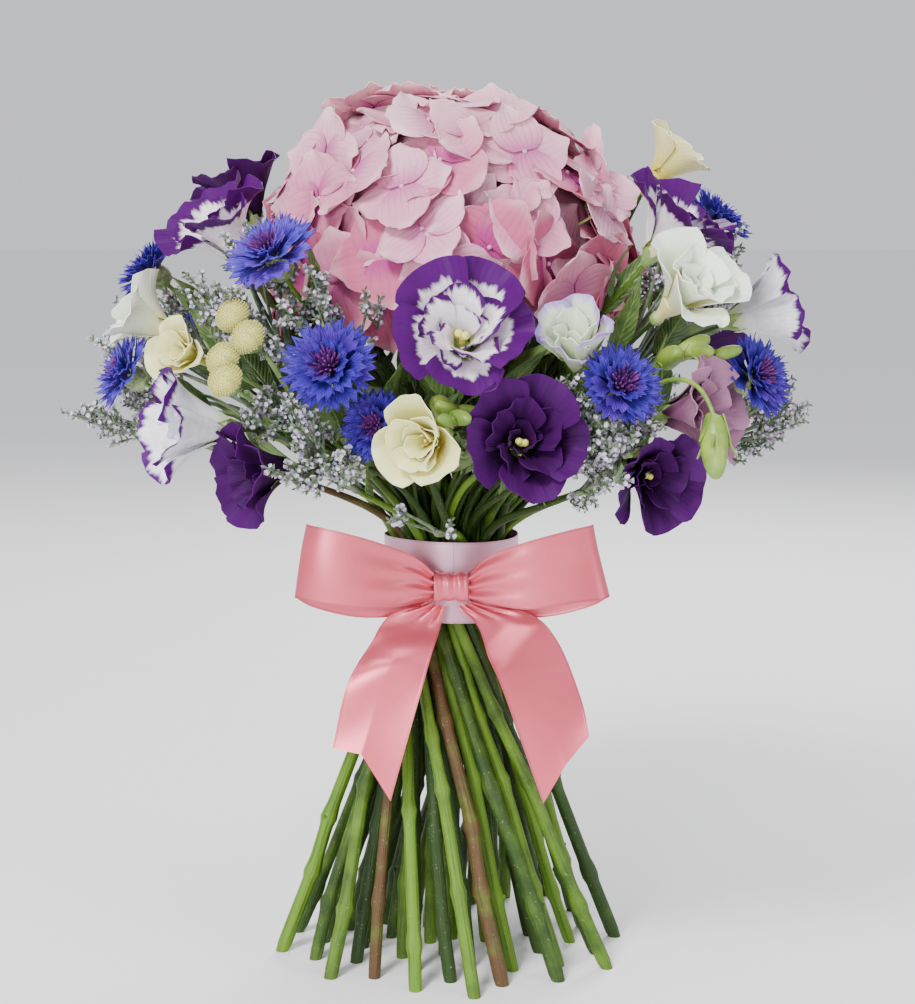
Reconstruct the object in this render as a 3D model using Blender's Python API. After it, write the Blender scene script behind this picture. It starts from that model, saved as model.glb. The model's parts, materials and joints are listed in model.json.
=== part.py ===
"""Hand-tied hydrangea bouquet with a satin bow, standing unheld on its spread stems.

One mophead hydrangea fills the crown. Lisianthus, cornflowers, freesias, yellow
button flowers and statice ring it, and every stem crosses a ribboned binding.
Metres, +Z up, the bow faces -Y, and the cut ends stand at Z = 0.
"""

import itertools
import math
import random

import bmesh
import bpy
from mathutils import Matrix, Vector
from mathutils.bvhtree import BVHTree
from mathutils.geometry import interpolate_bezier

MM = 0.001
GAP = 0.3 * MM

# The stems: straight lines through the binding, turned about the axis as they fall
TIE_HEIGHT = 190 * MM
BUNDLE_RADIUS = 27.6 * MM
SPIRAL = 16.2
STEM_RADII = (2.3, 2.9)
STEM_SIDES = 5
UPPER_SIDES = 3
GOLDEN_ANGLE = math.pi * (3 - math.sqrt(5))
BINDING_RADIUS = 32.1 * MM
BINDING_HALF = 15 * MM

# The ribbon: a band round the binding, and a bow of two loops and two tails
BAND_RADIUS = 33.75 * MM
BAND_HALF = 20.5 * MM
RIBBON_THICK = 0.8 * MM
KNOT_SIZE = Vector((17, 13.7, 17)) * MM
KNOT_PLACE = Vector((0, -(BAND_RADIUS + GAP + KNOT_SIZE.y / 2), 189.5 * MM))

# The hydrangea head: half-axes of the shell that its florets lie on
HEAD_CENTRE = Vector((0, 0, 340)) * MM
HEAD_RADIUS = 84 * MM
HEAD_CROWN = 84 * MM
HEAD_SKIRT = 50 * MM
HEAD_FLORETS = 28
FLORET_RADIUS = 33 * MM
FLORET_STALK = 26 * MM
FLORET_LIFT = 4.5
FLORET_TILT = 0.13
CORE_DEPTH = 13 * MM

PETAL_THICK = 0.9 * MM
EYE = Vector((0, 0, 200)) * MM

# Flowers: name, kind, size, azimuth from the front, height angle, reach from the eye
# in mm, and where it faces if that isn't straight out. Angles are in degrees.
FLOWERS = (
    ("lisianthus_front", "bicolour", 1.00, 2, 40, 186, (0, 24)),
    ("lisianthus_violet_front", "violet", 0.92, 12, 25, 170, (8, 14)),
    ("lisianthus_left", "bicolour_bell", 0.95, -47, 24, 184, (-68, 6)),
    ("lisianthus_left_crown", "bicolour", 0.90, -63, 53, 208, None),
    ("lisianthus_right_crown", "bicolour", 0.95, 57, 53, 211, (64, 52)),
    ("lisianthus_right", "bicolour_bell", 0.92, 82, 38, 202, (88, 20)),
    ("lisianthus_violet_left", "violet", 0.80, -36, 19, 166, (-60, -6)),
    ("lisianthus_violet_right", "violet", 0.80, 36, 18, 163, (30, -14)),
    ("lisianthus_half_open", "half_open", 0.80, 22, 39, 183, (-10, 40)),
    ("lisianthus_back_left", "violet", 0.85, -104, 59, 216, (-100, 66)),
    ("lisianthus_mauve", "mauve", 0.85, 48, 27, 176, (58, 8)),
    ("lisianthus_back", "bicolour_back", 1.12, -174, 40, 184, None),
    ("lisianthus_back_right", "violet", 1.00, 120, 36, 186, None),
    ("lisianthus_back_low", "bicolour_bell", 1.00, -146, 26, 170, None),
    ("cornflower_left_crown", "cornflower", 1.08, -36, 48, 204, None),
    ("cornflower_front", "cornflower", 1.05, -19, 33, 190, (-14, 22)),
    ("cornflower_left", "cornflower", 0.92, -70, 30, 190, None),
    ("cornflower_right", "deep_cornflower", 0.98, 59, 30, 190, (48, 22)),
    ("cornflower_front_right", "deep_cornflower", 0.95, 28, 31, 184, (20, 30)),
    ("cornflower_right_crown", "deep_cornflower", 0.90, 86, 52, 212, None),
    ("cornflower_left_rim", "deep_cornflower", 0.90, -84, 44, 206, None),
    ("cornflower_low", "deep_cornflower", 0.78, -13, 28, 164, (-20, 10)),
    ("cornflower_back_right", "cornflower", 1.08, 146, 46, 192, None),
    ("cornflower_back", "deep_cornflower", 1.05, -148, 52, 196, None),
    ("cornflower_back_left", "cornflower", 1.05, -118, 36, 186, None),
    ("freesia_front", "cream_freesia", 0.98, -5, 24, 174, (-26, -4)),
    ("freesia_right", "white_freesia", 1.12, 46, 43, 206, (38, 34)),
    ("freesia_left", "white_freesia", 0.95, -73, 37, 196, (-84, 30)),
    ("freesia_small", "cream_freesia", 0.72, -51, 34, 190, (-32, 16)),
    ("freesia_crown", "cream_freesia", 0.85, 88, 61, 226, (80, 50)),
    ("freesia_back", "white_freesia", 1.12, 158, 26, 168, None),
)

# Statice: name, azimuth, height angle, reach of its tips in mm, twigs, half spread
SPRAYS = (
    ("statice_left_tip", -80, 25, 200, 5, 13),
    ("statice_left_rim", -93, 36, 206, 5, 16),
    ("statice_left_crown", -50, 46, 206, 6, 17),
    ("statice_left_middle", -29, 42, 196, 6, 15),
    ("statice_left_low", -28, 24, 180, 7, 19),
    ("statice_front_sprig", -4, 14, 164, 3, 8),
    ("statice_middle", 21, 27, 184, 5, 13),
    ("statice_right_low", 36, 22, 180, 6, 17),
    ("statice_right_tip", 76, 24, 194, 5, 14),
    ("statice_right_crown", 72, 50, 216, 4, 14),
    ("statice_back_right", 104, 44, 198, 6, 18),
    ("statice_back", 170, 30, 188, 5, 18),
    ("statice_back_left", -126, 46, 192, 5, 18),
    ("statice_back_low", 134, 24, 176, 5, 16),
)

# Small flowers and buds on stalks of their own: name, azimuth, height angle, reach
BUTTONS = ("button_flowers", -37, 35, 192)
BUTTON_RADIUS = 8.5 * MM
BUTTON_STALK = 58 * MM
BUTTON_PLACES = ((-9, 15), (6, 5), (-2, -7), (5, -17))
BUD_SPRAYS = (
    ("freesia_buds_front", 6, 28, 178, 5),
    ("freesia_buds_right", 50, 34, 190, 4),
    ("freesia_buds_back", 172, 54, 196, 3),
)
BUD_STALK = 62 * MM
HANGING_BUD = ("lisianthus_bud", 36, 32, 188)
HANGING_STALK = 84 * MM
LEAVES = 12

# Ways a stem may reach its flower: from a seat near its own, in so many steps, raised,
# swung aside, and how far it runs straight at either end
NEAR_SEATS = 6
STEPS = (2, 4)
LIFTS = (0, 0.35, 0.8, 1.6, -0.3)
SWINGS = (0, 14, -14, 28, -28)
BENDS = ((0.30, 0.35), (0.22, 0.20), (0.45, 0.30), (0.30, 0.55), (0.55, 0.12))

# How far a flower may give way to its neighbours: a roll in degrees, then aside and out in mm
ROLLS = (0, 24, -24)
ASIDE = range(-18, 19, 3)
OUT = range(-6, 31, 3)
SHIFTS = sorted(
    itertools.product(ASIDE, ASIDE, OUT), key=lambda shift: 1.6 * math.hypot(*shift[:2]) + abs(shift[2])
)

COLOURS = {
    "pink_sepals": ((0.86, 0.55, 0.62), 0.6),
    "bicolour": ((0.62, 0.50, 0.80), 0.5),
    "bicolour_bell": ((0.72, 0.66, 0.84), 0.5),
    "violet": ((0.13, 0.03, 0.32), 0.45),
    "half_open": ((0.62, 0.72, 0.58), 0.5),
    "mauve": ((0.48, 0.33, 0.40), 0.6),
    "cornflower": ((0.10, 0.13, 0.68), 0.6),
    "deep_cornflower": ((0.03, 0.07, 0.58), 0.6),
    "cream_freesia": ((0.86, 0.84, 0.52), 0.5),
    "white_freesia": ((0.84, 0.90, 0.80), 0.5),
    "button_yellow": ((0.80, 0.74, 0.24), 0.8),
    "statice": ((0.52, 0.55, 0.60), 0.8),
    "bud_green": ((0.36, 0.50, 0.12), 0.5),
    "stem_green": ((0.10, 0.26, 0.06), 0.5),
    "pale_band": ((0.80, 0.58, 0.66), 0.4),
    "salmon_satin": ((0.78, 0.34, 0.35), 0.3),
}


# Places and directions


def outward(azimuth, height):
    """Unit direction: azimuth turns from the front towards +X, height rises from level."""
    azimuth, height = math.radians(azimuth), math.radians(height)
    level = math.cos(height)
    return Vector((math.sin(azimuth) * level, -math.cos(azimuth) * level, math.sin(height)))


def aimed(direction, roll=0.0):
    """A turn that carries +Z to the direction, after a roll about +Z."""
    return direction.to_track_quat("Z", "Y").to_matrix().to_4x4() @ Matrix.Rotation(roll, 4, "Z")


def spread(height):
    """How far the stems' pattern has grown and turned at this height above the floor."""
    drop = SPIRAL * (TIE_HEIGHT - height)
    return math.sqrt(1 + drop * drop), math.atan(drop)


def stem_point(seat, height):
    """Where the straight stem through this seat in the binding passes the height."""
    grown, turned = spread(height)
    level = Matrix.Rotation(turned, 3, "Z") @ Vector((seat.x, seat.y, 0)) * grown
    return Vector((level.x, level.y, height))


# Closed shapes, each as a bmesh


def moved(shape, matrix):
    bmesh.ops.transform(shape, matrix=matrix, verts=shape.verts)
    return shape


def blade(across, along, place, thick=PETAL_THICK):
    """A thin sheet laid out by place(u, v), u from -1 to 1 and v from 0 at its base to 1."""
    shape = bmesh.new()
    bmesh.ops.create_grid(shape, x_segments=across, y_segments=along, size=0.5)
    for vert in shape.verts:
        vert.co = place(2 * vert.co.x, vert.co.y + 0.5)
    bmesh.ops.remove_doubles(shape, verts=shape.verts, dist=0.05 * MM)
    bmesh.ops.triangulate(shape, faces=shape.faces)
    bmesh.ops.solidify(shape, geom=shape.faces, thickness=thick)
    bmesh.ops.recalc_face_normals(shape, faces=shape.faces)
    return shape


def ball(across, rings, scale, centre=(0, 0, 0)):
    shape = bmesh.new()
    bmesh.ops.create_uvsphere(shape, u_segments=across, v_segments=rings, radius=1)
    return moved(shape, Matrix.Translation(centre) @ Matrix.Diagonal((*scale, 1)))


def cone(start, end, start_radius, end_radius, sides):
    """A tapered rod between two points; an end radius of 0 makes a spike."""
    run = end - start
    shape = bmesh.new()
    bmesh.ops.create_cone(
        shape,
        cap_ends=True,
        cap_tris=False,
        segments=sides,
        radius1=start_radius,
        radius2=end_radius,
        depth=run.length,
    )
    return moved(shape, Matrix.Translation((start + end) / 2) @ aimed(run))


def rod(points, radii, sides=3):
    """A rod through the points, one ring of corners at each, so beads cost little."""
    shape = bmesh.new()
    turn = aimed(points[-1] - points[0])
    rings = []
    for index, (point, radius) in enumerate(zip(points, radii)):
        before = set(shape.edges)
        bmesh.ops.create_circle(
            shape,
            cap_ends=index in (0, len(points) - 1),
            segments=sides,
            radius=radius,
            matrix=Matrix.Translation(point) @ turn,
        )
        rings.append([edge for edge in shape.edges if edge not in before])
    for low, high in zip(rings, rings[1:]):
        bmesh.ops.bridge_loops(shape, edges=low + high)
    bmesh.ops.recalc_face_normals(shape, faces=shape.faces)
    return shape


def tube(points, radii, steps):
    """A tube along one Bezier arc, given as its start, two handles and end."""
    curve = bpy.data.curves.new("tube", "CURVE")
    curve.dimensions = "3D"
    curve.bevel_depth = 1
    curve.bevel_resolution = 0
    curve.use_fill_caps = True
    curve.resolution_u = steps
    start, start_handle, end_handle, end = points
    spline = curve.splines.new("BEZIER")
    spline.bezier_points.add(1)
    ends = zip(spline.bezier_points, (start, end), (start, end_handle), (start_handle, end), radii)
    for knot, place, left, right, radius in ends:
        knot.co, knot.handle_left, knot.handle_right = place, left, right
        knot.radius = radius
    holder = bpy.data.objects.new("tube", curve)
    bpy.context.scene.collection.objects.link(holder)
    graph = bpy.context.evaluated_depsgraph_get()
    mesh = bpy.data.meshes.new_from_object(holder.evaluated_get(graph))
    bpy.data.objects.remove(holder)
    bpy.data.curves.remove(curve)
    shape = bmesh.new()
    shape.from_mesh(mesh)
    bpy.data.meshes.remove(mesh)
    bmesh.ops.remove_doubles(shape, verts=shape.verts, dist=0.01 * MM)
    bmesh.ops.recalc_face_normals(shape, faces=shape.faces)
    return shape


# Joining shapes and keeping neighbours apart


def as_mesh(shape):
    mesh = bpy.data.meshes.new("shape")
    shape.to_mesh(mesh)
    shape.free()
    return mesh


def as_shape(mesh):
    shape = bmesh.new()
    shape.from_mesh(mesh)
    bpy.data.meshes.remove(mesh)
    return shape


def outer_body(mesh):
    """Keeps the largest body, so sealed hollows fill and loose scraps drop."""
    shape = bmesh.new()
    shape.from_mesh(mesh)
    bmesh.ops.triangulate(shape, faces=shape.faces)
    unseen = set(shape.faces)
    bodies = []
    while unseen:
        body = [unseen.pop()]
        for face in body:
            near = {other for edge in face.edges for other in edge.link_faces} & unseen
            unseen -= near
            body.extend(near)
        bodies.append(body)

    def volume(body):
        corners = ([vert.co for vert in face.verts] for face in body)
        return sum(a.dot(b.cross(c)) for a, b, c in corners) / 6

    kept = max(bodies, key=volume)
    dropped = [face for body in bodies if body is not kept for face in body]
    bmesh.ops.delete(shape, geom=dropped, context="FACES")
    shape.to_mesh(mesh)
    shape.free()
    return mesh


def fused(shapes):
    """One closed mesh from closed shapes."""
    if len(shapes) == 1:
        return as_mesh(shapes[0])
    scene = bpy.context.scene.collection
    others = bpy.data.collections.new("others")
    scene.children.link(others)
    first, *rest = [bpy.data.objects.new("shape", as_mesh(shape)) for shape in shapes]
    scene.objects.link(first)
    for other in rest:
        others.objects.link(other)
    union = first.modifiers.new("Union", "BOOLEAN")
    union.operation = "UNION"
    union.operand_type = "COLLECTION"
    union.collection = others
    union.solver = "MANIFOLD"
    graph = bpy.context.evaluated_depsgraph_get()
    mesh = bpy.data.meshes.new_from_object(first.evaluated_get(graph))
    for helper in (first, *rest):
        old = helper.data
        bpy.data.objects.remove(helper)
        bpy.data.meshes.remove(old)
    bpy.data.collections.remove(others)
    return outer_body(mesh)


def surface(mesh, matrix=Matrix(), margin=0.0):
    """The mesh in place as a search tree, with its skin pushed out by the margin."""
    points = [matrix @ (vert.co + vert.normal * margin) for vert in mesh.vertices]
    return BVHTree.FromPolygons(points, [face.vertices for face in mesh.polygons])


class Bouquet:
    """The pieces that are in place, and the surfaces that new ones keep clear of."""

    def __init__(self):
        self.collection = bpy.data.collections.new("hydrangea_bouquet")
        bpy.context.scene.collection.children.link(self.collection)
        self.middle = bpy.data.objects.new("bouquet_axis", None)
        self.collection.objects.link(self.middle)
        self.surfaces = []
        self.seats = []

    def is_clear(self, mesh, matrix=Matrix(), margin=GAP):
        tree = surface(mesh, matrix, margin)
        return not any(tree.overlap(other) for other in self.surfaces)

    def add(self, name, mesh, finish, matrix=Matrix()):
        mesh.name = name
        mesh.materials.clear()
        mesh.materials.append(finish_named(finish))
        piece = bpy.data.objects.new(name, mesh)
        piece.matrix_world = matrix
        piece.parent = self.middle
        self.collection.objects.link(piece)
        self.surfaces.append(surface(mesh, matrix))
        return piece

    def settle(self, name, mesh, finish, face, depth, facing=None):
        """Puts a flower in place, eased out or aside by the least that keeps it clear."""
        out = (face - EYE).normalized()
        facing = facing or out
        for shift in SHIFTS:
            place = face + aimed(out) @ Vector(shift) * MM - facing * depth
            for roll in ROLLS:
                matrix = Matrix.Translation(place) @ aimed(facing, math.radians(roll))
                if self.is_clear(mesh, matrix):
                    self.add(name, mesh, finish, matrix)
                    self.seats.append((place, facing))
                    return
        raise RuntimeError(f"{name} finds no clear place")


def finish_named(name):
    known = bpy.data.materials.get(name)
    if known:
        return known
    colour, roughness = COLOURS[name]
    finish = bpy.data.materials.new(name)
    finish.use_nodes = True
    shader = finish.node_tree.nodes["Principled BSDF"]
    shader.inputs["Base Color"].default_value = (*colour, 1)
    shader.inputs["Roughness"].default_value = roughness
    shader.inputs["Metallic"].default_value = 0
    finish.diffuse_color = (*colour, 1)
    return finish


# Petals


def petal(length, width, count, ring, start, finish, tuck=2.2, wave=2.0, phase=0.0, fall=0.16):
    """The surface of one petal in mm, of count set round a ring of this radius. It leans
    out from the flower's axis by start degrees at its base and by finish at its rim,
    curls round the axis, and tucks one edge behind its neighbour."""
    start, finish = math.radians(start), math.radians(finish)

    def place(u, v):
        run = v * (1 - fall * u * u)
        lean = start + (finish - start) * run
        reach = ring + length * (math.cos(start) - math.cos(lean)) / (finish - start)
        rise = length * (math.sin(lean) - math.sin(start)) / (finish - start)
        share = 0.80 + 0.42 * v
        half = min(width / 2, share * math.pi / count * reach) * min(1, 6 * v)
        turn = u * half / reach
        push = tuck * u * min(1, 1.6 * v) + wave * v**3 * math.sin(phase + 3.4 * u)
        inward = reach * (1 - math.cos(turn)) - push
        x = reach - inward * math.cos(lean)
        z = rise + inward * math.sin(lean)
        return Vector((x, reach * math.sin(turn), z)) * MM

    return place


def whorl(count, across, base, turn=0.0, **shape):
    """Petals set evenly round the axis, their bases at this height in mm."""
    petals = []
    for index in range(count):
        angle = turn + math.tau * index / count
        shape["phase"] = 1.7 * index + turn
        sheet = blade(across, 2, petal(count=count, **shape))
        petals.append(moved(sheet, Matrix.Rotation(angle, 4, "Z") @ Matrix.Translation((0, 0, base * MM))))
    return petals


def calyx(height, low, high, sides=5):
    return cone(Vector((0, 0, 0)), Vector((0, 0, height)) * MM, low * MM, high * MM, sides)


# Flowers: each returns its mesh and its depth from face to base


def lisianthus(size, open_to=72, inner_to=40, outer=5, inner=3, throat=3.2):
    """Broad overlapping petals in a cup round a few upright ones."""
    shapes = [calyx(10 * size, 2.6, 9.5 * size)]
    shapes += whorl(
        outer,
        2,
        7 * size,
        ring=6.0 * size,
        length=40 * size,
        width=42 * size,
        start=16,
        finish=open_to,
        wave=3.0 * size,
    )
    shapes += whorl(
        inner,
        2,
        7.5 * size,
        turn=0.6,
        ring=throat * size,
        length=29 * size,
        width=26 * size,
        start=8,
        finish=inner_to,
        tuck=2.0,
    )
    return fused(shapes), 33 * size * MM


def cornflower(size):
    """Toothed ray florets round a tuft of spiky ones, on a scaly egg-shaped base."""
    shapes = [calyx(11 * size, 2.4, 6.8 * size, 6)]
    rays = 8
    for index in range(rays):
        lean = math.radians(74 if index % 2 else 60)
        length = (17.5 if index % 2 else 16.5) * size

        def ray(u, v, lean=lean, length=length):
            run = length * v * (0.74 + 0.26 * abs(u))
            side = 7.4 * size * u * v
            dish = 2.2 * size * u * u * v
            return Vector(
                (run * math.sin(lean) - dish * math.cos(lean), side, run * math.cos(lean) + dish)
            ) * MM

        turn = Matrix.Rotation(math.tau * index / rays, 4, "Z")
        shapes.append(moved(blade(2, 1, ray), turn @ Matrix.Translation((3 * size * MM, 0, 10.2 * size * MM))))
    tuft = cone(Vector((0, 0, 10)) * size * MM, Vector((0, 0, 21)) * size * MM, size * MM, 7 * size * MM, 8)
    for index, vert in enumerate(sorted(tuft.verts, key=lambda vert: math.atan2(vert.co.y, vert.co.x))):
        if vert.co.z > 15 * size * MM and index // 2 % 2:
            vert.co -= Vector((0.55 * vert.co.x, 0.55 * vert.co.y, 5 * size * MM))
    shapes.append(tuft)
    return fused(shapes), 15 * size * MM


def freesia(size):
    """Two whorls of three rounded petals on a slim funnel."""
    shapes = [calyx(15 * size, 2.0, 7.4 * size)]
    outer = dict(ring=4.6 * size, length=31 * size, width=31 * size, start=18, finish=74, tuck=2.0)
    inner = dict(ring=2.4 * size, length=25 * size, width=25 * size, start=10, finish=48, tuck=2.0)
    shapes += whorl(3, 2, 12.5 * size, **outer)
    shapes += whorl(3, 2, 12.5 * size, turn=1.05, **inner)
    return fused(shapes), 31 * size * MM


MAKERS = {
    "bicolour": lisianthus,
    "bicolour_back": lambda size: lisianthus(size, inner=2),
    "bicolour_bell": lambda size: lisianthus(size, open_to=52, inner_to=20, inner=2, throat=2.2),
    "violet": lambda size: lisianthus(size, open_to=66, inner_to=26, inner=2, throat=2.6),
    "half_open": lambda size: lisianthus(size, open_to=30, inner_to=12, outer=4, inner=2, throat=2.0),
    "mauve": lambda size: lisianthus(size, inner=2),
    "cornflower": cornflower,
    "deep_cornflower": cornflower,
    "cream_freesia": freesia,
    "white_freesia": freesia,
}


def hydrangea(bouquet):
    """Four-lobed florets on short stalks, standing out all over a rounded core."""
    draw = random.Random(11)
    inset = CORE_DEPTH
    core = ball(11, 7, (1, 1, 1))
    for vert in core.verts:
        half = HEAD_CROWN if vert.co.z > 0 else HEAD_SKIRT
        vert.co = Vector(
            (vert.co.x * (HEAD_RADIUS - inset), vert.co.y * (HEAD_RADIUS - inset), vert.co.z * (half - inset))
        )
    shapes = [core]
    low = math.cos(math.radians(104))
    for index in range(HEAD_FLORETS):
        rise = 1 - (1 - low) * (index + 0.4) / HEAD_FLORETS
        level = math.sqrt(1 - rise * rise)
        angle = index * GOLDEN_ANGLE + 0.5
        half = HEAD_CROWN if rise > 0 else HEAD_SKIRT
        across = Vector((math.cos(angle) * level, math.sin(angle) * level, rise))
        place = Vector((across.x * HEAD_RADIUS, across.y * HEAD_RADIUS, across.z * half))
        normal = Vector((across.x / HEAD_RADIUS, across.y / HEAD_RADIUS, across.z / half)).normalized()
        tilt = Vector((draw.uniform(-1, 1), draw.uniform(-1, 1), draw.uniform(-1, 1))) * FLORET_TILT
        place += normal * (FLORET_LIFT if index % 2 else -FLORET_LIFT) * MM
        facing = (normal + tilt).normalized()
        turn = aimed(facing, draw.uniform(0, math.pi / 2))
        matrix = Matrix.Translation(place) @ turn
        shapes += [moved(shape, matrix) for shape in floret(FLORET_RADIUS * draw.uniform(0.92, 1.06))]
    head = fused(shapes)
    matrix = Matrix.Translation(HEAD_CENTRE)
    bouquet.add("hydrangea_head", head, "pink_sepals", matrix)
    base = HEAD_CENTRE - Vector((0, 0, HEAD_SKIRT - inset))
    bouquet.seats.append((base, Vector((0, 0, 1))))


def floret(radius):
    """Four broad sepals in one dished sheet, on a three-sided stalk."""
    shape = bmesh.new()
    corners = 8
    bmesh.ops.create_circle(shape, cap_ends=True, cap_tris=True, segments=corners, radius=radius)
    for vert in shape.verts:
        corner = round(math.atan2(vert.co.y, vert.co.x) / math.tau * corners)
        if vert.co.length < 0.5 * radius:
            continue
        if corner % 2:
            vert.co *= 0.68
            vert.co.z = -1 * MM
        else:
            vert.co.z = 5 * MM
    bmesh.ops.solidify(shape, geom=shape.faces, thickness=PETAL_THICK)
    bmesh.ops.recalc_face_normals(shape, faces=shape.faces)
    return shape, rod([Vector((0, 0, -FLORET_STALK)), Vector((0, 0, 0.4 * MM))], [1.6 * MM, 1.6 * MM])


# Statice, buttons and buds


def statice(bouquet, name, azimuth, height, reach, twigs, half_spread, draw):
    """Wiry twigs that fan from one point, with small florets toward their tips."""
    axis = outward(azimuth, height)
    root = EYE + axis * 0.56 * reach * MM
    shapes = [rod([root, root + axis * 0.14 * reach * MM], [1.9 * MM, 1.2 * MM])]
    for index in range(twigs):
        for attempt in range(60):
            wide = half_spread * (0.5 + 0.02 * attempt)
            turn = outward(azimuth + draw.uniform(-1, 1) * wide * 1.5, height + draw.uniform(-1, 1) * wide)
            tip = EYE + turn * reach * draw.uniform(0.92, 1.04) * MM
            start = root + axis * (0.03 + 0.10 * index / twigs) * reach * MM
            run = (tip - start).normalized()
            points = [start] + [tip - run * along * MM for along in (12, 6, 0)]
            mesh = as_mesh(rod(points, [radius * MM for radius in (0.7, 3.4, 1.1, 3.3)]))
            if bouquet.is_clear(mesh):
                shapes.append(as_shape(mesh))
                break
            bpy.data.meshes.remove(mesh)
    bouquet.add(name, fused(shapes), "statice")
    bouquet.seats.append((root, axis))


def button_flowers():
    """Four domed yellow heads on one forked stalk."""
    root = Vector((0, 0, 0))
    shapes = [rod([root, Vector((0, 0, 8 * MM))], [1.6 * MM, 1.4 * MM], 4)]
    for right, up in BUTTON_PLACES:
        place = Vector((right * MM, up * MM, BUTTON_STALK))
        shapes.append(rod([Vector((0, 0, 3 * MM)), place], [1.1 * MM, 1.1 * MM], 3))
        shapes.append(ball(7, 4, (BUTTON_RADIUS, BUTTON_RADIUS, BUTTON_RADIUS * 0.78), place))
    return fused(shapes)


def freesia_buds(count):
    """Plump buds in two rows along an arching stalk."""
    arch = [Vector((0, 0, z)) * MM for z in (0, 22)] + [Vector((0, 3, 48)) * MM, Vector((0, -14, 62)) * MM]
    shapes = [tube(arch, [1.6 * MM, 1.2 * MM], 3)]
    for index in range(count):
        share = index / (count - 1)
        lean = Vector((0.7 if index % 2 else -0.7, -0.5 * share, 1)).normalized()
        long = (10 - 4 * share) * MM
        place = Vector((0, -12 * share**2, 34 + 24 * share)) * MM + lean * long * 0.75
        bud = ball(4, 3, (0.5 * long, 0.5 * long, long))
        shapes.append(moved(bud, Matrix.Translation(place) @ aimed(lean)))
    return fused(shapes)


def hanging_bud():
    """A pointed bud that nods from a long arched stalk."""
    arch = [Vector((0, 0, 0)), Vector((0, 0, 40)) * MM, Vector((8, 22, 88)) * MM, Vector((22, -20, 86)) * MM]
    shapes = [tube(arch, [1.4 * MM, 1.3 * MM], 5)]
    hang = Vector((0.2, -1, -0.25)).normalized()
    bud = ball(6, 5, Vector((6.2, 6.2, 14.5)) * MM)
    shapes.append(moved(bud, Matrix.Translation(arch[-1] + hang * 12 * MM) @ aimed(hang)))
    return fused(shapes)


# The ribbon


def ribbon(rows, across=2):
    """A thin strap whose cross lines run between the two points of each row, in mm."""
    last = len(rows) - 1

    def place(u, v):
        low, high = rows[round(v * last)]
        return Vector(low).lerp(Vector(high), (u + 1) / 2) * MM

    return blade(across, last, place, RIBBON_THICK)


def bow_loop(side):
    """The strap leaves the knot behind, turns at the outer end and comes back in front."""
    course = (
        (9, -36.5, 183.0, 196.0),
        (20, -36.8, 178.5, 206.0),
        (44, -38.5, 179.0, 214.0),
        (66, -42.0, 183.5, 218.0),
        (75, -47.5, 185.5, 220.5),
        (72, -53.5, 185.5, 221.0),
        (58, -56.5, 184.0, 219.0),
        (36, -56.0, 181.0, 213.5),
        (18, -50.5, 183.0, 206.0),
        (9, -45.5, 184.5, 197.5),
    )
    rows = [((side * x, y, low), (side * x, y, high)) for x, y, low, high in course]
    return fused([ribbon(rows)])


LEFT_TAIL = (
    ((-11, -41, 181.2), (-3, -43, 180.5)),
    ((-30, -44, 176), (-6, -47, 168)),
    ((-39, -49, 163), (-10, -53, 156)),
    ((-50, -54, 143), (-15, -59, 140)),
    ((-57, -58, 114), (-29, -62, 89)),
)
RIGHT_TAIL = (
    ((3, -43, 180.5), (11, -41, 181.2)),
    ((13, -47, 171), (37, -44, 177)),
    ((18, -53, 157), (51, -49, 164)),
    ((26, -59, 138), (62, -55, 139)),
    ((44, -63, 88), (66, -59, 120)),
)


def bow_tail(rows, notch):
    """A tail cut to a swallow end: the middle of its last row steps back by the notch."""
    last = len(rows) - 1

    def place(u, v):
        index = round(v * last)
        low, high = rows[index]
        spot = Vector(low).lerp(Vector(high), (u + 1) / 2)
        if index == last:
            spot.z += notch * (1 - abs(u))
        spot.y -= 1.5 * math.cos(2 * u + 3 * v)
        return spot * MM

    return fused([blade(4, last, place, RIBBON_THICK)])


def bow_knot():
    """The short wrap that gathers the bow: a plump pad with rounded edges."""
    shape = bmesh.new()
    bmesh.ops.create_cube(shape, size=1)
    moved(shape, Matrix.Translation(KNOT_PLACE) @ Matrix.Diagonal((*KNOT_SIZE, 1)))
    bmesh.ops.bevel(shape, geom=shape.edges, offset=3.5 * MM, segments=2, profile=0.5, affect="EDGES")
    return as_mesh(shape)


def ribbon_band():
    """A flat ribbon wound once round the binding."""
    shape = bmesh.new()
    bmesh.ops.create_cone(
        shape, cap_ends=False, segments=20, radius1=BAND_RADIUS, radius2=BAND_RADIUS, depth=2 * BAND_HALF
    )
    moved(shape, Matrix.Translation((0, 0, TIE_HEIGHT)))
    bmesh.ops.recalc_face_normals(shape, faces=shape.faces)
    bmesh.ops.solidify(shape, geom=shape.faces, thickness=1.0 * MM)
    bmesh.ops.recalc_face_normals(shape, faces=shape.faces)
    return as_mesh(shape)


def make_ribbon(bouquet):
    bouquet.add("ribbon_band", ribbon_band(), "pale_band")
    bouquet.add("bow_loop_left", bow_loop(-1), "salmon_satin")
    bouquet.add("bow_loop_right", bow_loop(1), "salmon_satin")
    bouquet.add("bow_knot", bow_knot(), "salmon_satin")
    bouquet.add("bow_tail_left", bow_tail(LEFT_TAIL, 10), "salmon_satin")
    bouquet.add("bow_tail_right", bow_tail(RIGHT_TAIL, 3), "salmon_satin")


# Stems and leaves


def stem_seats(count):
    """Evenly packed places in the binding, from the middle out."""
    seats = []
    for index in range(count):
        radius = BUNDLE_RADIUS * math.sqrt(index / (count - 1))
        seats.append(Vector((math.cos(index * GOLDEN_ANGLE), math.sin(index * GOLDEN_ANGLE), 0)) * radius)
    return seats


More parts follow.
